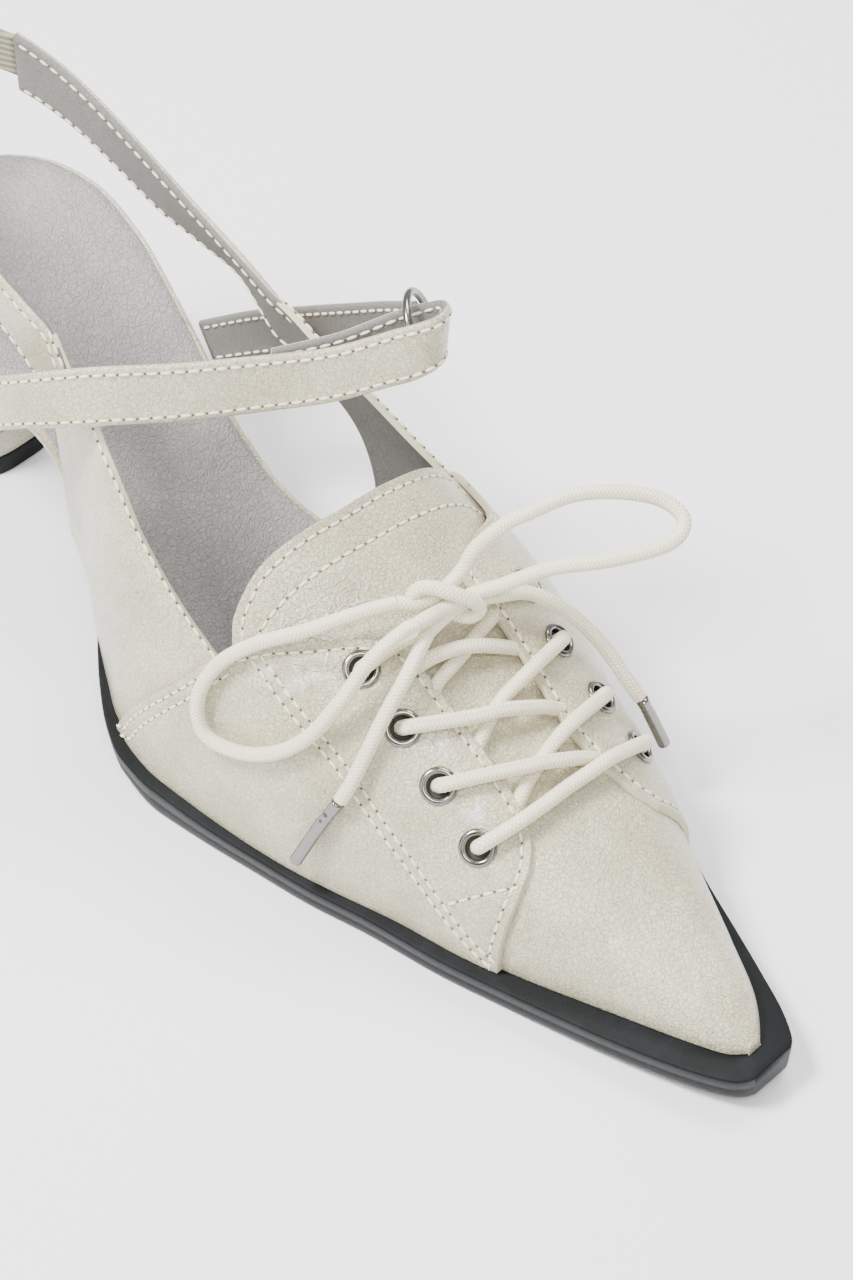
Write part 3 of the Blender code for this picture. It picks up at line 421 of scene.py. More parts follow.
def from_eyelet(side, k, towards, rest):
    """route that comes up out of an eyelet, bends over towards a point and goes on"""
    x, v = EYELETS[side][k]
    p, n = frame_at(x, side * v, PANEL_TOP)
    go = Vector(towards) - p
    go = (go - n * go.dot(n)).normalized()
    start = [p - n * 1.6 - go * 0.2, p + n * 0.3 + go * 0.5, p + n * 1.9 + go * 2.0]
    return start + [Vector(q) for q in rest]


bar_end = from_eyelet(1, 0, (204.1, 11.8, 33.0), [(204.1, 12.0, 33.4)])
STRANDS = {
    "lace_bar_front": [from_eyelet(-1, 0, (202.6, -12.4, 33.0), [
        (202.4, -12.4, 33.3), (203.1, -5.6, 33.7), (203.3, 0.3, 33.7), (203.8, 5.9, 33.8)]) + bar_end[::-1]],
    "lace_cross_3": [
        from_eyelet(-1, 1, (193.2, -10.2, 37.7), [
            (193.2, -10.2, 38.0), (196.6, -4.1, 37.9), (197.8, -1.1, 37.5), (199.5, 3.5, 35.8),
            (200.6, 7.9, 33.4), (201.2, 10.6, 31.2), (201.5, 12.9, 29.4)]),
        from_eyelet(1, 1, (194.9, 12.0, 37.0), [
            (194.9, 12.2, 37.3), (195.3, 7.6, 37.2), (195.4, 4.3, 35.9), (195.9, 1.0, 34.9),
            (197.0, -3.4, 34.1), (198.3, -7.3, 32.9), (198.9, -9.6, 31.0)])],
    "lace_cross_2": [
        from_eyelet(-1, 2, (182.6, -8.9, 43.3), [
            (182.6, -8.9, 43.6), (185.2, -3.9, 43.1), (186.5, -0.7, 42.8), (188.0, 2.9, 41.6),
            (189.4, 7.6, 39.0), (190.2, 10.3, 37.0), (190.8, 13.2, 34.8)]),
        from_eyelet(1, 2, (183.6, 12.0, 43.0), [
            (183.6, 12.2, 43.2), (183.8, 8.6, 42.8), (183.7, 5.2, 41.7), (183.9, 2.0, 40.8),
            (185.1, -2.1, 40.1), (186.3, -5.5, 39.0), (186.9, -7.8, 37.2)])],
    "lace_cross_1": [
        [(178.2, 13.4, 41.8), (177.3, 10.6, 43.8), (176.5, 8.4, 45.3), (175.4, 4.9, 47.5), (174.1, 1.3, 48.9),
         (172.9, -2.0, 49.3), (171.6, -5.2, 48.6), (170.4, -8.2, 46.9)],
        [(170.2, 14.8, 45.9), (171.8, 11.3, 46.9), (172.4, 8.5, 46.9), (173.2, 4.7, 46.5),
         (174.1, -0.4, 46.0), (174.7, -5.4, 45.1), (175.3, -8.0, 43.2)]],
    "lace_rise_inner": [from_eyelet(-1, 3, (166.9, -10.0, 51.6), [
        (166.6, -10.4, 52.2), (167.3, -6.2, 52.2), (168.6, -2.0, 53.4), (168.8, 2.0, 55.4)])],
    "lace_rise_outer": [from_eyelet(1, 3, (170.4, 15.3, 50.1), [
        (170.4, 15.3, 50.2), (169.8, 11.0, 51.4), (168.8, 6.6, 53.0), (168.0, 3.0, 55.2)])]}
for name, routes in STRANDS.items():
    for k, route in enumerate(routes):
        part = tube("%s_%d" % (name, k), smooth_path(route, LACE_STEP), LACE, cotton, BRAID)
        dress(part, "lace_cotton", *([] if k else [name]))

# The knot: loops and ends run through its middle, and one turn of the lace holds them.
KNOT_TURN = [
    (167.2, 2.6, 54.4), (166.0, 0.6, 54.8), (164.9, -1.6, 56.4), (164.4, -2.2, 58.6), (165.2, -0.9, 60.3),
    (166.9, 0.9, 60.4), (168.8, 2.4, 59.7), (170.6, 4.2, 58.4), (172.0, 6.2, 56.6), (172.8, 7.2, 54.4),
    (172.2, 6.2, 52.6), (170.6, 4.6, 52.4), (168.8, 3.4, 53.4), (167.2, 2.6, 54.4)]
THROUGH = [
    [LOOP_OUTER[0], (166.5, 6.4, 57.6), (166.6, 2.0, 57.2), (165.6, -2.2, 57.5), LOOP_INNER[0]],
    [LOOP_OUTER[-1], (171.2, 8.4, 56.6), (169.8, 4.4, 56.2), (169.2, 0.4, 56.2), (169.4, -3.2, 57.2),
     LOOP_INNER[-1]],
    [END_OUTER[0], (170.6, 8.0, 54.4), (169.8, 4.0, 54.6), (169.8, 0.0, 54.4), END_INNER[0]]]
for k, route in enumerate([KNOT_TURN] + THROUGH):
    part = tube("lace_knot_%d" % k, smooth_path(route, LACE_STEP), LACE, cotton, BRAID)
    dress(part, "lace_cotton", *([] if k else ["lace_knot"]))


# Leather
# Cream calf with a glaze that has broken into a fine net of cracks, folded and scuffed where the shoe is
# handled. The ridges of the folds are painted paler as highlights, and the pale scuffed patches on the inner
# side are partly wear and partly painted glare highlights. The linings are of a plain grey leather, painted
# darker as shade.
def leather(name, light, dark, crack, rough, coat, cells=900.0, depth=0.00022, seen=0.35,
            fold_at=None, worn_and_glare_at=()):
    """glazed leather with a net of cracks; fine folds near fold_at, their ridges painted paler as highlights;
    broken pale patches at worn_and_glare_at, partly wear and partly painted glare highlights
    """
    mat, tree, shader = plain_material(name, light, rough, Coat_Weight=coat, Coat_Roughness=0.2)
    where = node(tree, "ShaderNodeTexCoord").outputs["Object"]

    def swayed(scale, detail, reach):
        """places pushed about, so that a pattern on them loses its straight lines"""
        push = node(tree, "ShaderNodeTexNoise", {"Vector": where, "Scale": scale, "Detail": detail,
                                                 "Roughness": 0.55})
        by = node(tree, "ShaderNodeVectorMath", {0: push.outputs["Color"], "Scale": reach}, operation="SCALE")
        return node(tree, "ShaderNodeVectorMath", {0: where, 1: by}, operation="ADD")

    def net_of(place, scale, width):
        """net of lines, 0 on a line and 1 beside it"""
        cell = node(tree, "ShaderNodeTexVoronoi", {"Vector": place, "Scale": scale},
                    feature="DISTANCE_TO_EDGE")
        return node(tree, "ShaderNodeMapRange", {"Value": cell, "From Max": width})

    def spots(scale, detail, coarse, low, high, most):
        """soft spots from 0 to most"""
        cloud = node(tree, "ShaderNodeTexNoise", {"Vector": where, "Scale": scale, "Detail": detail,
                                                  "Roughness": coarse})
        return node(tree, "ShaderNodeMapRange", {"Value": cloud, "From Min": low, "From Max": high,
                                                 "To Max": most})

    def near_to(p, outer, inner):
        """1 within inner millimetres of a point, 0 beyond outer"""
        away = node(tree, "ShaderNodeVectorMath", {0: where, 1: to_row(p)}, operation="DISTANCE")
        return node(tree, "ShaderNodeMapRange", {"Value": away.outputs["Value"], "From Min": outer * MM,
                                                 "From Max": inner * MM})

    place = swayed(420.0, 3.0, 0.0016)
    fine = node(tree, "ShaderNodeMath", {0: net_of(place, cells * 2.2, 0.16), 1: 0.5, 2: 0.5},
                operation="MULTIPLY_ADD")
    net = node(tree, "ShaderNodeMath", {0: net_of(place, cells, 0.10), 1: fine}, operation="MULTIPLY")
    clear = node(tree, "ShaderNodeMath", {0: net, 1: seen, 2: 1 - seen}, operation="MULTIPLY_ADD")
    # each layer mixes two colours by a share; None stands for the tone so far
    layers = [(spots(55.0, 5.0, 0.62, 0.40, 0.62, 0.75), None, dark),
              (spots(2100.0, 2.0, 0.6, 0.50, 0.72, 0.6), None, crack), (clear, crack, None)]
    height = net
    for scale, coarse, much in ((1900.0, 0.6, 1.5), (150.0, 0.55, 2.4)):
        grain = node(tree, "ShaderNodeTexNoise", {"Vector": where, "Scale": scale, "Detail": 3.0,
                                                  "Roughness": coarse})
        height = node(tree, "ShaderNodeMath", {0: grain, 1: much, 2: height}, operation="MULTIPLY_ADD")
    if fold_at:
        between = net_of(swayed(150.0, 2.0, 0.008), 270.0, 0.06)
        ridge = node(tree, "ShaderNodeMath", {0: 1.0, 1: between}, operation="SUBTRACT")
        fold = node(tree, "ShaderNodeMath", {0: ridge, 1: near_to(fold_at, 15.0, 8.0)}, operation="MULTIPLY")
        height = node(tree, "ShaderNodeMath", {0: fold, 1: 2.2, 2: height}, operation="MULTIPLY_ADD")
        # the fold ridges are painted paler: painted highlight on the ridge tops
        pale = node(tree, "ShaderNodeMath", {0: fold, 1: 0.8}, operation="MULTIPLY")
        layers.append((pale, None, "#F8F6F0"))
    # pale patches on the inner facing, tongue and vamp: partly wear, partly painted glare highlights where
    # the gloss would catch the light
    for (x, v), reach in worn_and_glare_at:
        broken = spots(330.0, 5.0, 0.6, 0.42, 0.60, 0.75)
        glare_and_wear_near = near_to(last_point(x, v, PANEL_TOP), reach, reach * 0.3)
        pale = node(tree, "ShaderNodeMath", {0: glare_and_wear_near, 1: broken}, operation="MULTIPLY")
        layers.append((pale, None, "#FAF9F6"))
    tone = light
    for share, low, high in layers:
        tone = node(tree, "ShaderNodeMix", {0: share, 6: low or tone, 7: high or tone},
                    data_type="RGBA").outputs[2]
    tree.links.new(tone, shader.inputs["Base Color"])
    gloss = node(tree, "ShaderNodeMapRange", {"Value": net, "To Min": rough + 0.14, "To Max": rough - 0.03})
    tree.links.new(gloss.outputs[0], shader.inputs["Roughness"])
    for socket, strength in (("Normal", 0.9), ("Coat Normal", 0.22)):
        bump = node(tree, "ShaderNodeBump", {"Height": height, "Strength": strength, "Distance": depth})
        tree.links.new(bump.outputs["Normal"], shader.inputs[socket])
    return mat


# The cream glaze gives broad soft highlights broken by the net, and its pale patches on the inner side are
# partly painted glare highlights; the grey lining is matt and painted darker as shade of the shoe's inside,
# and the painted edge half matt and even.
cream = leather("cream crackle leather", "#E0D8B9", "#C2BA9A", "#8E8669", 0.32, 0.8, fold_at=(153, -14, 51),
                worn_and_glare_at=[((182.5, -.27), 3.6), ((194.5, -.33), 3.4), ((157.5, -.44), 5.0),
                         ((144.6, -.47), 3.6), ((150.0, -.50), 3.2), ((228.0, -.30), 3.0)])
# the lining's grey is painted darker than the sock's, as shade of the shoe's inside
lining = leather("grey lining leather", "#86837E", "#7A7772", "#65625B", 0.6, 0.0, 1300.0, 0.00012, 0.2)
cut_edge = plain_material("painted leather edge", "#C9C1A4", 0.55)[0]


def trough(points, line, width, depth):
    """soft groove (depth above 0) or ridge (below 0) along a line, as heights at the points"""
    a, b = np.asarray(line[:-1], float), np.asarray(line[1:], float)
    flat = points.reshape(-1, 3)
    near = np.full(len(flat), 1e9)
    for p, q in zip(a, b):
        d = q - p
        t = np.clip(((flat - p) @ d) / (d @ d), 0, 1)
        near = np.minimum(near, ((flat - p - t[:, None] * d) ** 2).sum(1))
    return -depth * np.exp(-near / width ** 2).reshape(points.shape[:-1])


V_SPREAD = 40.0        # stretches v so that it counts like millimetres in a smooth path
V_LOW = 0.985          # where normals are taken for the feather line, at which the surface ends
EDGE_ROUND = 0.28      # rounding of a cut edge


def surface_line(line, off=0.0):
    """(x, v) points followed on the shoe's surface, as points in millimetres"""
    flat = smooth_path([(x, v * V_SPREAD, 0) for x, v in line], 1.2)
    return np.array([list(last_point(x, v / V_SPREAD, off)) for x, v, _ in flat])


def wall(name, outer, inner, quads, materials):
    """closed wall from two layers of points; outer face, inner face and rim get materials 0, 1, 2"""
    n = len(outer)
    faces = [tuple(q) for q in quads] + [tuple(i + n for i in reversed(q)) for q in quads]
    which = [0] * len(quads) + [1] * len(quads)
    edges = {(q[i], q[(i + 1) % len(q)]): True for q in quads for i in range(len(q))}
    rim = [(a, b) for a, b in edges if (b, a) not in edges]
    for a, b in rim:
        faces.append((b, a, a + n, b + n))
    which += [2] * len(rim)
    ob = make_mesh(name, np.vstack([outer, inner]), faces, materials, which)
    bevel = ob.modifiers.new("edge", "BEVEL")
    bevel.width, bevel.segments = EDGE_ROUND * MM, 2
    bevel.limit_method, bevel.angle_limit = "ANGLE", math.radians(50)
    return ob


def applied(ob):
    """the object's mesh with its modifiers worked in"""
    bpy.context.view_layer.update()
    mesh = bpy.data.meshes.new_from_object(ob.evaluated_get(bpy.context.evaluated_depsgraph_get()))
    ob.modifiers.clear()
    ob.data = mesh
    return ob


# Stitches
# Cream cotton thread in lock stitch, sewn through both layers. Each stitch sits proud between two needle
# holes. The thread is matt, and the holes are dark spots of painted shade.
STITCH = 2.6
thread = plain_material("cream cotton thread", "#E9E1C8", 0.6)[0]
# needle holes: dark spots of painted shade
hole = plain_material("needle hole", "#5E5743", 0.95)[0]
SEWN = {"Stitch length": STITCH * MM, "Thread half size": (1.08, 0.33, 0.30),
        "Hole half size": (0.32, 0.28, 0.10)}


def stitch_tree():
    """rows of edges become thread stitches with a needle hole between them; half sizes in mm"""
    tree = bpy.data.node_groups.new("stitches", "GeometryNodeTree")
    tree.interface.new_socket("Geometry", in_out="INPUT", socket_type="NodeSocketGeometry")
    for label, value in SEWN.items():
        kind = "NodeSocketVector" if isinstance(value, tuple) else "NodeSocketFloat"
        tree.interface.new_socket(label, in_out="INPUT", socket_type=kind).default_value = value
    tree.interface.new_socket("Geometry", in_out="OUTPUT", socket_type="NodeSocketGeometry")
    given = node(tree, "NodeGroupInput")
    curve = node(tree, "GeometryNodeMeshToCurve", {0: given})
    spaced = node(tree, "GeometryNodeResampleCurve",
                  {"Curve": curve, "Length": given.outputs["Stitch length"]}, mode="LENGTH")
    first = node(tree, "FunctionNodeAlignRotationToVector",
                 {"Vector": node(tree, "GeometryNodeInputTangent")}, axis="X")
    up_name = node(tree, "GeometryNodeInputNamedAttribute", {"Name": "up"}, data_type="FLOAT_VECTOR")
    both = node(tree, "FunctionNodeAlignRotationToVector", {"Rotation": first, "Vector": up_name},
                axis="Z", pivot_axis="X")
    joined = node(tree, "GeometryNodeJoinGeometry")
    for material, size, shift in ((thread, "Thread half size", (0.0, 0.0, 0.07)),
                                  (hole, "Hole half size", (STITCH / 2, 0.0, 0.0))):
        ball = node(tree, "GeometryNodeMeshUVSphere", {"Segments": 10, "Rings": 6, "Radius": MM})
        shape = node(tree, "GeometryNodeTransform", {"Geometry": ball, "Scale": given.outputs[size],
                                                     "Translation": [c * MM for c in shift]})
        laid = node(tree, "GeometryNodeInstanceOnPoints",
                    {"Points": spaced, "Instance": shape, "Rotation": both})
        real = node(tree, "GeometryNodeRealizeInstances", {0: laid})
        smooth = node(tree, "GeometryNodeSetShadeSmooth", {0: real})
        coloured = node(tree, "GeometryNodeSetMaterial", {"Geometry": smooth, "Material": material})
        tree.links.new(coloured.outputs[0], joined.inputs[0])
    tree.links.new(joined.outputs[0], node(tree, "NodeGroupOutput").inputs[0])
    return tree


STITCHES = stitch_tree()


def stitches(name, piece, lines):
    """sews the rows (points in millimetres along the shoe) onto the piece's surface"""
    points, ups, edges = [], [], []
    for line in lines:
        for k, p in enumerate(smooth_path(line, STITCH / 4)):
            at, normal = piece.closest_point_on_mesh(to_row(p))[1:3]
            if k:
                edges.append((len(points) - 1, len(points)))
            points.append(at)
            ups.append(normal)
    mesh = bpy.data.meshes.new(name)
    mesh.from_pydata(points, edges, [])
    up_at = mesh.attributes.new("up", "FLOAT_VECTOR", "POINT")
    up_at.data.foreach_set("vector", np.array(ups, np.float32).ravel())
    ob = bpy.data.objects.new(name, mesh)
    bpy.context.scene.collection.objects.link(ob)
    sewing = ob.modifiers.new("stitches", "NODES")
    sewing.node_group = STITCHES
    for socket in STITCHES.interface.items_tree:
        if socket.name in SEWN:
            sewing[socket.identifier] = SEWN[socket.name]
    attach(applied(ob), "root")


def edge_row(line, side, off, inset):
    """row that runs inset millimetres inside an edge given as (x, v) points; the sign picks the side"""
    flat = smooth_path([(x, v * V_SPREAD, 0) for x, v in line], 1.6)
    at = [frame_at(x, side * min(v / V_SPREAD, V_LOW), off) for x, v, _ in flat]
    out = []
    for k, (p, n) in enumerate(at):
        go = at[min(k + 1, len(at) - 1)][0] - at[max(k - 1, 0)][0]
        out.append(p + n.cross(go).normalized() * inset * side)
    return out


# Upper
# Vamp with the tongue cut in one with it, and the quarters beside it: 1.5 mm leather drawn
# over the last, lined in grey.
UNDER_PANEL = 139.6    # x from which the quarter runs on under the side panel
# x, z of the quarter's lower edge (0 where it meets the sole), z of its topline
QUARTER_IN = [(84.0, 64.5, 81.6), (85.2, 60.5, 80.6), (86.6, 55.0, 79.2), (88.0, 45.5, 77.9),
              (89.2, 36.0, 76.8), (90.2, 0.0, 76.0), (93, 0, 74.4), (97, 0, 72.8), (102, 0, 70.6),
              (108.4, 0, 67.4), (114, 0, 63.8), (119, 0, 60.2), (124, 0, 55.8), (129, 0, 51.8),
              (134, 0, 48.2), (UNDER_PANEL, 0, 44.6)]
QUARTER_OUT = [(100.5, 59.2, 72.0), (106, 57.2, 69.6), (110.5, 54.6, 67.2), (114, 50.5, 65.0),
               (116.5, 45.5, 63.4), (118.4, 38.5, 62.2), (119.6, 30.0, 61.4), (120.6, 0, 60.6),
               (124, 0, 58.2), (129, 0, 54.6), (134, 0, 50.8), (UNDER_PANEL, 0, 47.4)]
# v of the throat's edge, x of the tongue's end against its width, depth of the tongue below it
SIDE_V = Row([UNDER_PANEL, 150, 165, 180, 204], [0.60, 0.615, 0.64, 0.66, 0.68])
TONGUE_TOP = Row([-1.0, -0.85, -0.6, -0.3, 0.0, 0.3, 0.6, 0.85, 1.0],
                 [143.5, 140.2, 139.4, 140.6, 142.2, 142.8, 142.4, 142.0, 145.0])
TONGUE_DROP = Row([139, 150, 158, 186, 198, 203.6], [0.3, 0.5, 1.1, 1.1, 0.5, 0.0])
JOIN_X = 204.0         # where the tongue joins the vamp
# x of the vamp's further rows, closer together at the toe
FORE_X = list(np.arange(205.2, 250, 1.2)) + [250.4, 251.6, 252.7, 253.7, 254.6, 255.4, 256.1, 256.7,
                                             257.1, 257.4, 257.7]
COLS, ACROSS = 20, 88  # mesh columns up each side wall, and across the throat

# creases: (x, v) points, width, depth in millimetres
CREASES = [
    ([(214, -.30), (219, -.05), (217, .20)], 2.6, 0.22), ([(224, -.45), (229, -.1), (227, .3)], 3.4, 0.16),
    ([(206, -.62), (214, -.66), (224, -.60)], 2.2, 0.20),
    ([(150, -.86), (163, -.90), (178, -.88)], 3.2, 0.30),
    ([(126, .78), (137, .84), (150, .86)], 3.0, 0.30), ([(219, .5), (226, .58), (233, .5)], 2.4, 0.15)]
TONGUE_CREASES = [
    ([(144, -.50), (150, -.42), (157, -.40), (163, -.33)], 0.7, 0.42),
    ([(149, -.43), (152, -.30), (158, -.20)], 0.6, 0.36),
    ([(147, -.30), (151, -.36), (155, -.35)], 0.5, 0.30),
    ([(152, -.08), (157, -.16), (163, -.14)], 0.7, 0.30), ([(148, .16), (154, .10), (160, .14)], 0.8, 0.26),
    ([(146, -.14), (149, -.22), (152, -.30)], 0.5, 0.26),
    ([(158, -.40), (161, -.30), (165, -.26)], 0.7, 0.30),
    ([(178, -.05), (184, .03), (192, .0)], 1.4, 0.25), ([(200, -.1), (206, .02), (212, -.06)], 2.0, 0.22)]


def quarter_line(side, table):
    """rows of (x, v at the lower edge, v at the topline), run on under the panel to the vamp"""
    cols = rows(table)
    start = next(x for x, lo, hi in table if not lo)
    xs = [x for x, lo, hi in table if lo]
    xs = sorted(set([a + (b - a) * k / 3 for a, b in zip(xs, xs[1:] + [start]) for k in range(3)]
                    + list(np.arange(start, UNDER_PANEL, 1.3)) + [UNDER_PANEL]))
    line = []
    for x in xs:
        lo, hi = cols[0](x) if x < start else 0, cols[1](x)
        line.append((x, v_at(x, lo, side) if lo > 1 else side * 1.0, v_at(x, hi, side)))
    end = line[-1][2]
    for x in list(np.arange(141.5, JOIN_X - 0.5, 2.0)) + [JOIN_X]:
        blend = min((x - UNDER_PANEL) / 12.0, 1.0)
        line.append((x, side * 1.0, end + (side * SIDE_V(x) - end) * blend))
    return line


grid, quads = {}, []
for side, table in ((-1, QUARTER_IN), (1, QUARTER_OUT)):
    line = quarter_line(side, table)
    n = len(line) - 1

    def key(i, j, side=side, n=n):
        """name of a grid point; the last row is the vamp's first"""
        return (side, i, j) if i < n else ("v", 0, j if side < 0 else 2 * COLS + ACROSS - j)

    for i, (x, v0, v1) in enumerate(line):
        for j in range(COLS + 1):
            grid[key(i, j)] = (x, v0 + (v1 - v0) * j / COLS, 0.0)
            if i and j:
                q = [key(i - 1, j - 1), key(i, j - 1), key(i, j), key(i - 1, j)]
                quads.append(q if side < 0 else q[::-1])
edge_v = SIDE_V(JOIN_X)
for i, x in enumerate([JOIN_X] + FORE_X):
    for c in range(2 * COLS + ACROSS + 1):
        if c <= COLS:
            v = -1 + (1 - edge_v) * c / COLS
        elif c < COLS + ACROSS:
            v = -edge_v + 2 * edge_v * (c - COLS) / ACROSS
        else:
            v = edge_v + (1 - edge_v) * (c - COLS - ACROSS) / COLS
        grid[("v", i, c)] = (x, v, 0.0)
        if i and c:
            quads.append([("v", i - 1, c - 1), ("v", i, c - 1), ("v", i, c), ("v", i - 1, c)])
TONGUE_ROWS = 104
for i in range(TONGUE_ROWS + 1):
    for c in range(ACROSS + 1):
        share = -1 + 2 * c / ACROSS
        x = TONGUE_TOP(share) + (JOIN_X - TONGUE_TOP(share)) * i / TONGUE_ROWS
        if i < TONGUE_ROWS:
            edge = SIDE_V(x) - (0.02 + 0.05 * max(0.0, 1 - (x - 139) / 10.0)) * min((JOIN_X - x) / 4, 1)
            grid[("t", i, c)] = (x, share * edge, -TONGUE_DROP(x))
        if i and c:
            below = ("t", i, 0) if i < TONGUE_ROWS else ("v", 0, COLS)
            low = [below[:2] + (below[2] + c - 1,), below[:2] + (below[2] + c,)]
            quads.append([("t", i - 1, c - 1), low[0], low[1], ("t", i - 1, c)])
keys = list(grid)
place_of = {k: i for i, k in enumerate(keys)}
outer, normal = [], []
for k in keys:
    x, v, off = grid[k]
    outer.append(list(last_point(x, v, off)))
    normal.append(list(frame_at(x, v if abs(v) < 0.999 else math.copysign(V_LOW, v), off)[1]))
outer, normal = np.array(outer), np.array(normal)
# the last row is drawn down to the sole and closes the toe
toe = np.array([k[0] == "v" and k[1] == len(FORE_X) for k in keys])
outer[toe, 2] = sole_top_flat(TOE_X) + spring(FORE_X[-1]) + 0.1
inner = outer - normal * WALL
height = np.zeros(len(keys))
for line, width, depth in CREASES:
    height += trough(outer, surface_line(line), width, depth)
for line, width, depth in TONGUE_CREASES:
    height += trough(outer, surface_line(line, -1.1), width, depth)
outer = outer + normal * height[:, None]
TONGUE_SEAMS = [
    edge_row([(TONGUE_TOP(a), a * (SIDE_V(TONGUE_TOP(a)) - 0.06)) for a in np.linspace(-0.97, 0.97, 21)],
             1, -0.4, -1.9),
    surface_line([(149.6, -.53), (146.6, -.49), (145.6, -.43), (146.2, -.30), (148.0, -.12), (149.6, .038),
                  (150.3, .20), (150.4, .36), (151.0, .50)], -0.5)]
for line in TONGUE_SEAMS:
    outer = outer + normal * trough(outer, [list(q) for q in line], 0.8, 0.26)[:, None]
upper = wall("upper_and_tongue", outer, inner, [[place_of[k] for k in q] for q in quads],
             [cream, lining, cut_edge])
applied(upper)
dress(upper, "upper_leather", "upper", "tongue")
sewn = list(TONGUE_SEAMS)
for side, table in ((-1, QUARTER_IN), (1, QUARTER_OUT)):
    sewn.append(edge_row([(x, abs(v_at(x, hi, side))) for x, lo, hi in table], side, 0.0, -1.8))
stitches("stitches_upper", upper, sewn)

# Side panels
# Cut from the same leather, laid over the quarters and stitched down, with a facing edge that
# carries four eyelets a side. The edges are (x, v) points from the rear or the sole.
PANEL = {
    -1: dict(top=[(141.2, .583), (148.2, .45), (155.0, .334), (162.0, .20), (166.0, .142), (172.0, .128),
                  (180.3, .135), (192.3, .150), (201.5, .190), (206.0, .262), (208.6, .36)],
             seam=[(119.8, 1.0), (124.9, .906), (130.1, .814), (136.0, .705), (141.2, .583)],
             front=[(210.8, 1.0), (210.6, .84), (210.3, .66), (209.7, .50), (208.6, .36)]),
    1: dict(top=[(142.6, .575), (149.0, .545), (153.4, .455), (156.4, .345), (158.8, .225), (161.4, .135),
                 (164.6, .100), (168.4, .112), (174.0, .125), (182.0, .128), (193.4, .130), (201.7, .174),
                 (209.0, .270), (213.6, .42)],
            seam=[(123.0, 1.0), (127.0, .89), (132.0, .78), (137.4, .67), (142.6, .575)],
            front=[(216.0, 1.0), (216.0, .86), (215.7, .71), (215.0, .56), (213.6, .42)])}
PANEL_CREASES = {
    -1: [([(146, -.55), (152, -.50), (160, -.36), (164, -.30)], 1.3, 0.35),
         ([(158, -.62), (172, -.66), (188, -.72)], 2.6, 0.30),
         ([(168, -.42), (172, -.52), (180, -.60)], 1.6, 0.25),
         ([(181, -.44), (185, -.56), (193, -.66)], 1.8, 0.22),
         ([(140, -.80), (156, -.84), (170, -.80)], 3.4, 0.35)],
    1: [([(150, .50), (158, .48), (168, .42)], 1.6, 0.30), ([(160, .66), (176, .68), (192, .70)], 2.8, 0.28)]}
PUNCH_R = 2.75         # radius of the holes punched for the eyelets
DENT, DENT_R = 0.30, 4.6        # depth and reach of the dent that an eyelet presses


def along(line, t):
    """(x, v) at the share t of a line"""
    k = len(line) - 1
    share = [i / k for i in range(k + 1)]
    return Row(share, [p[0] for p in line])(t), Row(share, [p[1] for p in line])(t)


def panel_point(p, s, t):
    """(x, v) inside the panel: s from rear seam to front, t from the feather to the top edge"""
    top, seam, front = along(p["top"], s), along(p["seam"], t), along(p["front"], t)
    x0, x1 = p["seam"][0][0], p["front"][0][0]
    out = []
    for c, lo in ((0, x0 + (x1 - x0) * s), (1, 1.0)):
        c00, c10, c01, c11 = p["seam"][0][c], p["front"][0][c], p["seam"][-1][c], p["front"][-1][c]
        out.append((1 - t) * lo + t * top[c] + (1 - s) * seam[c] + s * front[c]
                   - ((1 - s) * (1 - t) * c00 + s * (1 - t) * c10 + (1 - s) * t * c01 + s * t * c11))
    return out


# stitch rows inside the panels; the first of each side is sewn twice
SEAM_ROWS = {
    -1: [[(149.3, .476), (161.2, .511), (171.2, .541), (182.3, .628), (195.9, .759), (209.4, .94)],
         [(199.4, .746), (203.6, .62), (208.2, .471)]],
    1: [[(151.3, .60), (163.2, .62), (175.2, .64), (188.3, .70), (200.9, .80), (213.0, .93)]]}
long_n, up_n = 190, 92          # mesh cells along and up a panel
for side, word in ((-1, "inner"), (1, "outer")):
    pts, nor, low = [], [], []
    for i in range(long_n + 1):
        for j in range(up_n + 1):
            x, v = panel_point(PANEL[side], i / long_n, j / up_n)
            pts.append(list(last_point(x, side * v, PANEL_TOP)))
            nor.append(list(frame_at(x, side * min(v, V_LOW), PANEL_TOP)[1]))
            low.append(list(last_point(x, side * v, 0.1)))
    pts, nor, low = np.array(pts), np.array(nor), np.array(low)
    height = np.zeros(len(pts))
    for line, width, depth in PANEL_CREASES[side]:
        height += trough(pts, surface_line(line, PANEL_TOP), width, depth)
    for x, v in EYELETS[side]:
        at = np.array(last_point(x, side * v, PANEL_TOP))
        height -= DENT * np.exp(-(((pts - at) ** 2).sum(1)) / DENT_R ** 2)
    pts = pts + nor * height[:, None]
    p = PANEL[side]
    sewn = [edge_row(p["top"] + p["front"][::-1][1:], side, PANEL_TOP, 1.7),
            edge_row(p["seam"], side, PANEL_TOP, 1.6), edge_row(p["seam"], side, PANEL_TOP, 3.9)]
    sewn += [edge_row(row, side, PANEL_TOP, 0.0) for row in SEAM_ROWS[side]]
    sewn.append(edge_row(SEAM_ROWS[side][0], side, PANEL_TOP, 2.1))
    for line in sewn:
        pts = pts + nor * trough(pts, [list(q) for q in line], 0.7, 0.28)[:, None]
    holes = np.zeros(len(pts), bool)
    for x, v in EYELETS[side]:
        at = np.array(last_point(x, side * v, PANEL_TOP))
        holes |= ((pts - at) ** 2).sum(1) < PUNCH_R ** 2
    quads = []
    for i in range(long_n):
        for j in range(up_n):
            here, ahead = i * (up_n + 1) + j, (i + 1) * (up_n + 1) + j
            q = [here, ahead, ahead + 1, here + 1]
            if not holes[q].any():
                quads.append(q if side < 0 else q[::-1])
    panel = wall("side_panel_" + word, pts, low, quads, [cream, lining, cut_edge])
    applied(panel)
    dress(panel, "panel_leather", "side_panel_" + word)
    stitches("stitches_panel_" + word, panel, sewn)


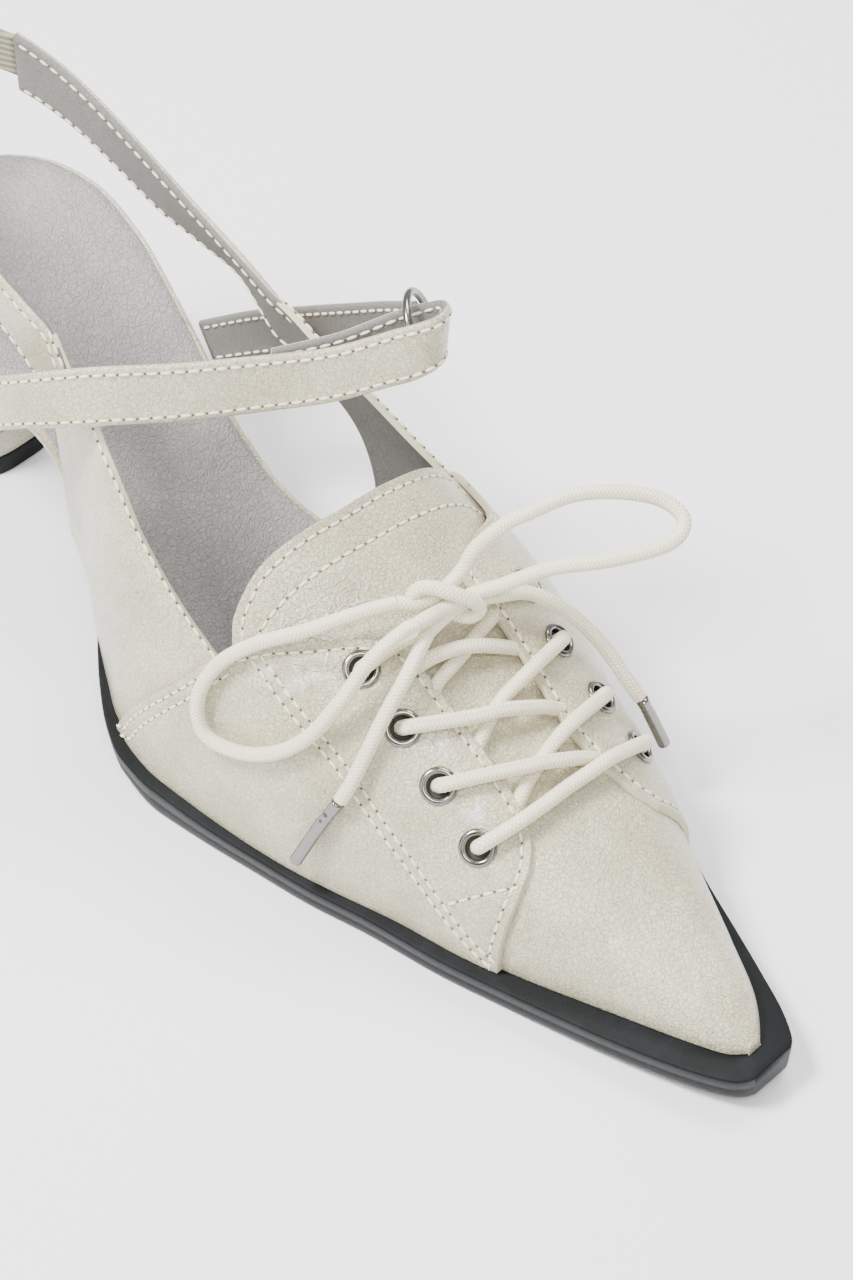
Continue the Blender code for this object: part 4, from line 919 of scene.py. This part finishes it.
# Eyelets
# Rolled steel rings, a bright lip outside and a barrel through the leather.
def turned(name, profile, p, n, materials, sides=40, barrel=None):
    """ring with the profile (radius, height) about the axis n; barrel closes it at (radius, height)"""
    u = n.orthogonal().normalized()
    w = n.cross(u)
    pts, faces, m = [], [], len(profile)
    for k in range(sides):
        a = 2 * math.pi * k / sides
        pts += [list(p + (u * math.cos(a) + w * math.sin(a)) * r + n * h) for r, h in profile]
        for j in range(m):
            i, q = (j + 1) % m, (k + 1) % sides
            faces.append((k * m + j, k * m + i, q * m + i, q * m + j))
    area = sum(a[0] * b[1] - b[0] * a[1] for a, b in zip(profile, profile[1:] + profile[:1]))
    faces = [f[::-1] for f in faces] if area > 0 else faces
    which = [0] * len(faces)
    if barrel:
        first = len(pts)
        for k in range(sides):
            a = 2 * math.pi * k / sides
            pts.append(list(p + (u * math.cos(a) + w * math.sin(a)) * barrel[0] + n * barrel[1]))
        faces.append(tuple(range(first, first + sides)))
        which.append(1)
    return make_mesh(name, pts, faces, materials, which)


# a dark disc closes each eyelet's barrel: painted shade in the hole
inside = plain_material("painted shade in the eyelet holes", "#3A3833", 0.9)[0]
EYELET = [(2.3, -1.3), (2.65, -1.3), (2.75, -0.2), (3.55, -0.05), (3.7, 0.12), (3.62, 0.36), (3.4, 0.58),
          (3.1, 0.72), (2.8, 0.72), (2.5, 0.56), (2.34, 0.25)]
for side, word in ((-1, "inner"), (1, "outer")):
    for k, (x, v) in enumerate(EYELETS[side]):
        p, n = frame_at(x, side * v, PANEL_TOP - 0.2)
        name = "eyelet_%s_%d" % (word, k + 1)
        dress(turned(name, EYELET, p, n, [steel, inside], barrel=(2.4, -0.9)), "polished_metal", name)


# Outsole
# Black rubber, its upper layer standing out as a welt edge; a groove runs round the side.
def rubber(name, hexa, rough, scale):
    """dull moulded rubber with a fine grain, greyed by dust in patches"""
    mat, tree, shader = plain_material(name, hexa, rough, Specular_IOR_Level=0.2)
    where = node(tree, "ShaderNodeTexCoord").outputs["Object"]
    dust = node(tree, "ShaderNodeTexNoise", {"Vector": where, "Scale": 90.0, "Detail": 6.0,
                                             "Roughness": 0.65})
    some = node(tree, "ShaderNodeMapRange", {"Value": dust, "From Min": 0.5, "From Max": 0.85, "To Max": 0.7})
    tone = node(tree, "ShaderNodeMix", {0: some, 6: hexa, 7: "#1D2123"}, data_type="RGBA")
    tree.links.new(tone.outputs[2], shader.inputs["Base Color"])
    grain = node(tree, "ShaderNodeTexNoise", {"Vector": where, "Scale": scale, "Detail": 3.0})
    bump = node(tree, "ShaderNodeBump", {"Height": grain, "Strength": 0.4, "Distance": 0.00015})
    tree.links.new(bump.outputs["Normal"], shader.inputs["Normal"])
    return mat


def loft(name, rings, materials, which=None):
    """closed rings of equal length joined in order, ends capped; which gives a ring side's material,
    its first one the caps' too"""
    rings = np.array([[list(p) for p in r] for r in rings])
    count, n = rings.shape[:2]
    faces, index = [], []
    for i in range(count - 1):
        for j in range(n):
            k = (j + 1) % n
            faces.append((i * n + j, i * n + k, (i + 1) * n + k, (i + 1) * n + j))
            index.append(which[j] if which else 0)
    faces += [tuple(reversed(range(n))), tuple((count - 1) * n + j for j in range(n))]
    index += [which[0] if which else 0] * 2
    pts = rings.reshape(-1, 3)
    tri = [(f[0], f[i], f[i + 1]) for f in faces for i in range(1, len(f) - 1)]
    volume = sum(np.dot(pts[a], np.cross(pts[b], pts[c])) for a, b, c in tri)
    if volume < 0:
        faces = [f[::-1] for f in faces]
    return make_mesh(name, pts, faces, materials, index)


black = rubber("black rubber", "#06090A", 0.62, 1400.0)
rings = []
for x in sorted(set(list(np.arange(24.5, 258, 1.8)) + [21.2, 21.6, 22.2, 23.0, 23.7, 258.6, 259.3, 260, 260.6,
                                                       261.2, 261.7, 262])):
    zt, zb = sole_top_flat(x) + spring(x), sole_bottom_flat(x) + spring(x)
    a, b = sole_in(x), sole_out(x)
    mid, r = zb + (zt - zb) * 0.5, min(0.5, (zt - zb) * 0.16)
    half = [(0.0, zt - r), (0.0, mid + 0.35), (0.45, mid), (0.3, mid - 0.35), (0.35, zb + 2 * r),
            (0.35 + r * 0.3, zb + r * 0.6), (0.35 + r, zb)]
    edge = [(r, zt), (r * 0.3, zt - r * 0.3)] + half
    rings.append([(x, b - d, z) for d, z in edge[::-1]] + [(x, a + d, z) for d, z in edge])
# the sole's side is smoother and lighter than its top: the lighter colour is painted reflection of the floor
side_rubber_painted_sheen = rubber("rubber side painted lighter as reflection", "#17191A", 0.4, 900.0)
side_faces = [1] * 6 + [0] * 5 + [1] * 6 + [0]
dress(loft("outsole", rings, [black, side_rubber_painted_sheen], side_faces), "sole_rubber", "outsole")

# Insole
# Padded grey sock leather, its rim wrapped in the cream leather.
INSOLE_THICK = 3.4
# x, inner edge, outer edge
INSOLE = [
    (19.6, -3.5, 8.5), (20.6, -8.6, 13.6), (23.0, -14.0, 19.0), (27.5, -18.8, 23.8), (34.5, -22.6, 27.4),
    (44.5, -24.4, 29.2), (55, -23.2, 28.6), (65, -20.2, 26.6), (75, -17.4, 24.4), (85, -18.8, 22.0),
    (93, -22.2, 20.2), (101, -26.6, 20.2), (109, -31.2, 21.8), (116, -34.4, 24.6), (124, -36.6, 28.6)]
for x in (133, 144, 156, 170, 186, 202, 216, 230, 241):
    INSOLE.append((x, feather_in(x) + WALL + 0.5, feather_out(x) - WALL - 0.5))
insole_in, insole_out = rows(INSOLE)
rings = []
for x in sorted(set(list(np.arange(24.5, 241, 2.2)) + [19.6, 20.0, 20.6, 21.4, 22.2, 23.0, 24.0, 241])):
    zb = sole_top_flat(x) + spring(x) + 0.05
    zt = zb + SEAT_GAP + INSOLE_THICK - 0.05
    a, b = insole_in(x), insole_out(x)
    half = [(1.5, zt - 0.12), (1.35, zt - 0.35), (1.2, zt - 0.12), (0.85, zt - 0.1), (0.4, zt - 0.45),
            (0.1, zt - 1.0), (0.0, zt - 1.7), (0.1, zt - 2.4), (0.5, zb + 0.2), (0.9, zb)]
    crown = [(b + (a - b) * k / 12, zt - 0.12 + 0.10 * math.sin(math.pi * k / 12)) for k in range(1, 12)]
    rings.append([(x, a + d, z) for d, z in half] + [(x, b - d, z) for d, z in half[::-1]]
                 + [(x, y, z) for y, z in crown])
n_half = len(half)
rim_side = [1] * n_half + [1] * n_half + [0] * 11
rim_side[n_half * 2 - 1] = 0
# The sock is soft and matt, with a finer net than the upper's.
sock = leather("grey sock leather", "#A19F9B", "#94928E", "#7B7872", 0.55, 0.05, 700.0, 0.0002, 0.22)
insole = dress(loft("insole", rings, [sock, cream], rim_side), "insole_lining", "insole")

# Heel
# Covered in the same cream leather over a plastic core, with a rubber top piece underneath.
# The top piece's lower edge is a little rounded.

# height share from seat 0 to ground 1, back x, breast x, half width
HEEL = [(0.0, 22.4, 61.0, 22.6), (0.08, 22.6, 58.0, 21.0), (0.2, 23.4, 54.0, 18.0), (0.38, 24.8, 49.6, 14.4),
        (0.6, 26.2, 46.4, 11.8), (0.8, 27.2, 45.0, 10.6), (1.0, 27.8, 44.4, 10.2)]
HEEL_MID_Y, HEEL_TIP_Z, TIP_THICK = 2.5, 5.6, 5.3
heel_back, heel_breast, heel_half = rows(HEEL)


def heel_ring(share, z_of, inset=0.0, sides=64):
    """ring round the heel at a height share: flat towards the toe, round at the back"""
    ring = []
    back_x, breast, half = heel_back(share) + inset, heel_breast(share) - inset, heel_half(share) - inset
    for k in range(sides):
        a = 2 * math.pi * (k + 0.5) / sides
        c, s = math.cos(a), math.sin(a)
        px = abs(c) ** (0.95 if c < 0 else 0.34) * (-1 if c < 0 else 1)
        mid = back_x + (breast - back_x) * 0.55
        x = mid + px * ((breast - mid) if c > 0 else (mid - back_x))
        ring.append((x, HEEL_MID_Y + half * abs(s) ** 0.8 * (1 if s > 0 else -1), z_of(x)))
    return ring


def heel_level(q):
    """height at each x of the ring at the share q, from under the sole down to the top piece"""
    return lambda x: (sole_bottom_flat(x) - 0.05) + (HEEL_TIP_Z - sole_bottom_flat(x)) * q


heel = loft("heel", [heel_ring(q, heel_level(q)) for q in np.linspace(1, 0, 30)], [cream])
top_rings = [heel_ring(1, lambda x, z=z: z, inset)
             for z, inset in ((0.0, 0.4), (0.15, 0.12), (0.5, 0.0), (1.5, 0.0), (3.0, 0.0), (4.5, 0.0),
                              (TIP_THICK, 0.0))]
top_piece = loft("heel_top_piece", top_rings, [black])
dress(heel, "heel_cover_leather", "heel")
dress(top_piece, "heel_tip_rubber", "heel_top_piece")


# Straps
# Two layers of leather with turned edges and a row of stitches near each; the elastic at the
# back is a ribbed webbing.
SEAM_INSET = 1.5       # the stitch rows' distance from a strap's edges


def spline(xs, vs, at):
    """smooth values through the rows, as a cubic with even tangents"""
    m = np.gradient(vs, xs)
    i = np.clip(np.searchsorted(xs, at, side="right") - 1, 0, len(xs) - 2)
    h = xs[i + 1] - xs[i]
    t = (at - xs[i]) / h
    return ((2 * t ** 3 - 3 * t ** 2 + 1) * vs[i] + (t ** 3 - 2 * t ** 2 + t) * h * m[i]
            + (-2 * t ** 3 + 3 * t ** 2) * vs[i + 1] + (t ** 3 - t ** 2) * h * m[i + 1])


def band(name, table, thick, materials, slot, seams):
    """flat band between a top and a bottom edge (x y z each); seen from above, material 0 is on the
    right of its run and material 1 on the left"""
    count = len(smooth_path([row[:3] for row in table], 1.2))
    whole = np.array(table, float)
    steps = np.linalg.norm(np.diff((whole[:, :3] + whole[:, 3:]) / 2, axis=0), axis=1)
    run = np.concatenate([[0], np.cumsum(steps)])
    at = np.linspace(0, run[-1], count)
    cols = np.stack([spline(run, whole[:, c], at) for c in range(6)], 1)
    top, low = cols[:, :3], cols[:, 3:]
    n = np.cross(np.gradient((top + low) / 2, axis=0), top - low)
    n /= np.linalg.norm(n, axis=1)[:, None]
    e = (top - low) / np.linalg.norm(top - low, axis=1)[:, None]
    r = thick / 2
    a = np.radians([30, 60, 90, 120, 150])
    rings = []
    for i in range(count):
        high, deep = top[i] - e[i] * r, low[i] + e[i] * r
        ring = [high + (deep - high) * k / 8 + n[i] * r for k in range(9)]
        ring += [deep - e[i] * r * math.sin(t) + n[i] * r * math.cos(t) for t in a]
        ring += [deep + (high - deep) * k / 8 - n[i] * r for k in range(9)]
        ring += [high + e[i] * r * math.sin(t) + n[i] * r * math.cos(t) for t in a[::-1]]
        rings.append(ring)
    which = [0] * 11 + [1] * 14 + [0] * 3
    strap = dress(loft(name, rings, materials, which), slot, name)
    if seams:
        stitches("stitches_" + name, strap, [(edge + e * way * SEAM_INSET + n * face * r)[2:-2]
                                             for edge, way in ((top, -1), (low, 1)) for face in (1, -1)])


# Webbing of rubber and polyester: matt, with close ribs across its width; the grooves between the ribs are
# painted darker as shade.
elastic, tree, shader = plain_material("ribbed elastic", "#A9A590", 0.85, Sheen_Weight=0.3)
where = node(tree, "ShaderNodeTexCoord").outputs["Object"]
ribs = node(tree, "ShaderNodeTexWave", {"Vector": where, "Scale": 210.0, "Distortion": 0.4, "Detail": 1.0},
            bands_direction="Z").outputs["Fac"]
# darker between the ribs: painted shade
tone = node(tree, "ShaderNodeMix", {0: ribs, 6: "#6E6A54", 7: "#A39F88"}, data_type="RGBA")
tree.links.new(tone.outputs[2], shader.inputs["Base Color"])
bump = node(tree, "ShaderNodeBump", {"Height": ribs, "Strength": 0.6, "Distance": 0.0003})
tree.links.new(bump.outputs["Normal"], shader.inputs["Normal"])

# x y z of the top edge, x y z of the lower edge, from the end that is sewn to the shoe
SLING_INNER = [(83.4, -18.8, 81.9, 83.4, -20.2, 65.0), (78, -19.0, 84.6, 78, -19.8, 69.4),
               (71.5, -19.1, 87.3, 71.5, -19.7, 73.9), (64, -19.1, 90.2, 64, -19.5, 77.7),
               (55, -18.8, 93.6, 55, -19.2, 81.3), (45, -18.0, 96.8, 45, -18.4, 84.6),
               (36, -16.8, 99.0, 36, -17.1, 86.9), (30.2, -15.5, 99.9, 30.2, -15.8, 87.9)]
SLING_OUTER = [(99.9, 24.4, 72.3, 99.9, 25.8, 59.5), (95, 24.4, 74.0, 92.9, 27.2, 62.6),
               (90, 24.4, 75.9, 86.2, 28.7, 65.2), (80, 24.4, 79.8, 77.0, 27.4, 68.3),
               (68, 24.2, 84.9, 67.4, 24.9, 72.3), (56, 23.7, 90.2, 56, 24.0, 76.7),
               (45, 22.9, 94.8, 45, 23.2, 80.6), (36, 21.7, 97.5, 36, 22.0, 82.8),
               (30.2, 20.5, 98.9, 30.2, 20.8, 83.8)]
ELASTIC = [(29.8, 20.4, 98.2, 29.8, 20.6, 87.6), (24.2, 17.4, 99.2, 24.2, 17.5, 88.6),
           (19.6, 11.4, 100.0, 19.6, 11.5, 89.4), (17.6, 2.5, 100.3, 17.6, 2.5, 89.8),
           (19.6, -6.4, 100.0, 19.6, -6.5, 89.5), (24.2, -12.4, 99.6, 24.2, -12.5, 89.0),
           (29.8, -15.3, 99.2, 29.8, -15.4, 88.6)]
ANKLE_INNER = [(58.6, -23.6, 52.6, 67.2, -20.9, 44.0), (65.2, -25.6, 61.0, 73.8, -24.6, 51.8),
               (73.6, -30.2, 70.2, 79.6, -31.4, 59.4), (84.0, -31.0, 79.4, 85.4, -33.8, 67.4),
               (99.0, -23.6, 87.2, 100.8, -26.6, 74.8), (113.2, -11.0, 89.9, 115.3, -13.8, 77.9),
               (122.9, 1.0, 90.4, 125.4, -1.8, 79.2), (131.4, 9.8, 92.4, 134.0, 7.0, 81.6),
               (139.4, 18.8, 96.6, 141.4, 15.4, 85.2), (142.3, 21.4, 98.3, 144.2, 18.2, 86.8)]
ANKLE_OUTER = [(73.1, 27.4, 44.6, 79.0, 26.4, 37.2), (86.2, 29.4, 55.4, 92.0, 30.2, 46.6),
               (100.2, 30.2, 66.1, 105.6, 31.4, 57.0), (114.1, 30.6, 76.7, 119.0, 31.8, 67.2),
               (122.3, 31.0, 82.8, 126.0, 31.8, 73.0), (131.0, 31.15, 88.95, 133.3, 31.4, 78.5)]
# the inner ankle strap turns back on itself through the ring, a gap behind its outer face
FOLD_GAP, RING_AT, RING_R, RING_WIRE = 9.4, 0.86, 7.4, 0.8
centre = [(Vector(r[:3]) + Vector(r[3:])) / 2 for r in ANKLE_INNER]
half = [(Vector(r[:3]) - Vector(r[3:])) / 2 for r in ANKLE_INNER]
run = (centre[-1] - centre[-2]).normalized()
behind = -run.cross(half[-1]).normalized()
fold = []
for k in range(1, 4):
    a = math.pi * k / 4
    c = centre[-1] + run * math.sin(a) * FOLD_GAP * 0.5 + behind * (1 - math.cos(a)) * FOLD_GAP * 0.5
    fold.append((c, half[-1] * 0.96))
for i, gap in ((-1, 1.0), (-2, 1.0), (-3, 0.72), (-4, 0.36)):
    fold.append((centre[i] + behind * FOLD_GAP * gap, half[i] * 0.92))


def lap(x, top, low, side):
    """first row of a sling strap, laid over the end of the quarter"""
    rows_at = []
    for z in (top, low):
        p, n = frame_at(x, v_at(x, z, side), 0.0)
        rows_at += list(p + n * 0.1)
    return tuple(rows_at)


# piece, table, thickness, materials of the face to the right of its run and of the other
STRAPS = [
    ("sling_strap_inner", [lap(89.0, 77.2, 63.6, -1)] + SLING_INNER, 2.0, [lining, cream]),
    ("sling_strap_outer", [lap(105.5, 69.2, 58.2, 1)] + SLING_OUTER, 2.0, [cream, lining]),
    ("sling_elastic", ELASTIC, 1.3, [elastic, elastic]),
    ("ankle_strap_inner", ANKLE_INNER + [tuple(c + h) + tuple(c - h) for c, h in fold], 1.7, [cream, lining]),
    ("ankle_strap_outer", ANKLE_OUTER, 1.7, [lining, cream])]
for name, table, thick, faces in STRAPS:
    if name == "sling_elastic":
        band(name, table, thick, faces, "elastic_cloth", False)
    else:
        band(name, table, thick, faces, "upper_leather", True)

ring_centre = centre[-2].lerp(centre[-1], RING_AT) + behind * FOLD_GAP
wire = [(RING_R + RING_WIRE * math.cos(2 * math.pi * k / 14), RING_WIRE * math.sin(2 * math.pi * k / 14))
        for k in range(14)]
dress(turned("strap_ring", wire, ring_centre, run, [steel], 64), "polished_metal", "strap_ring")
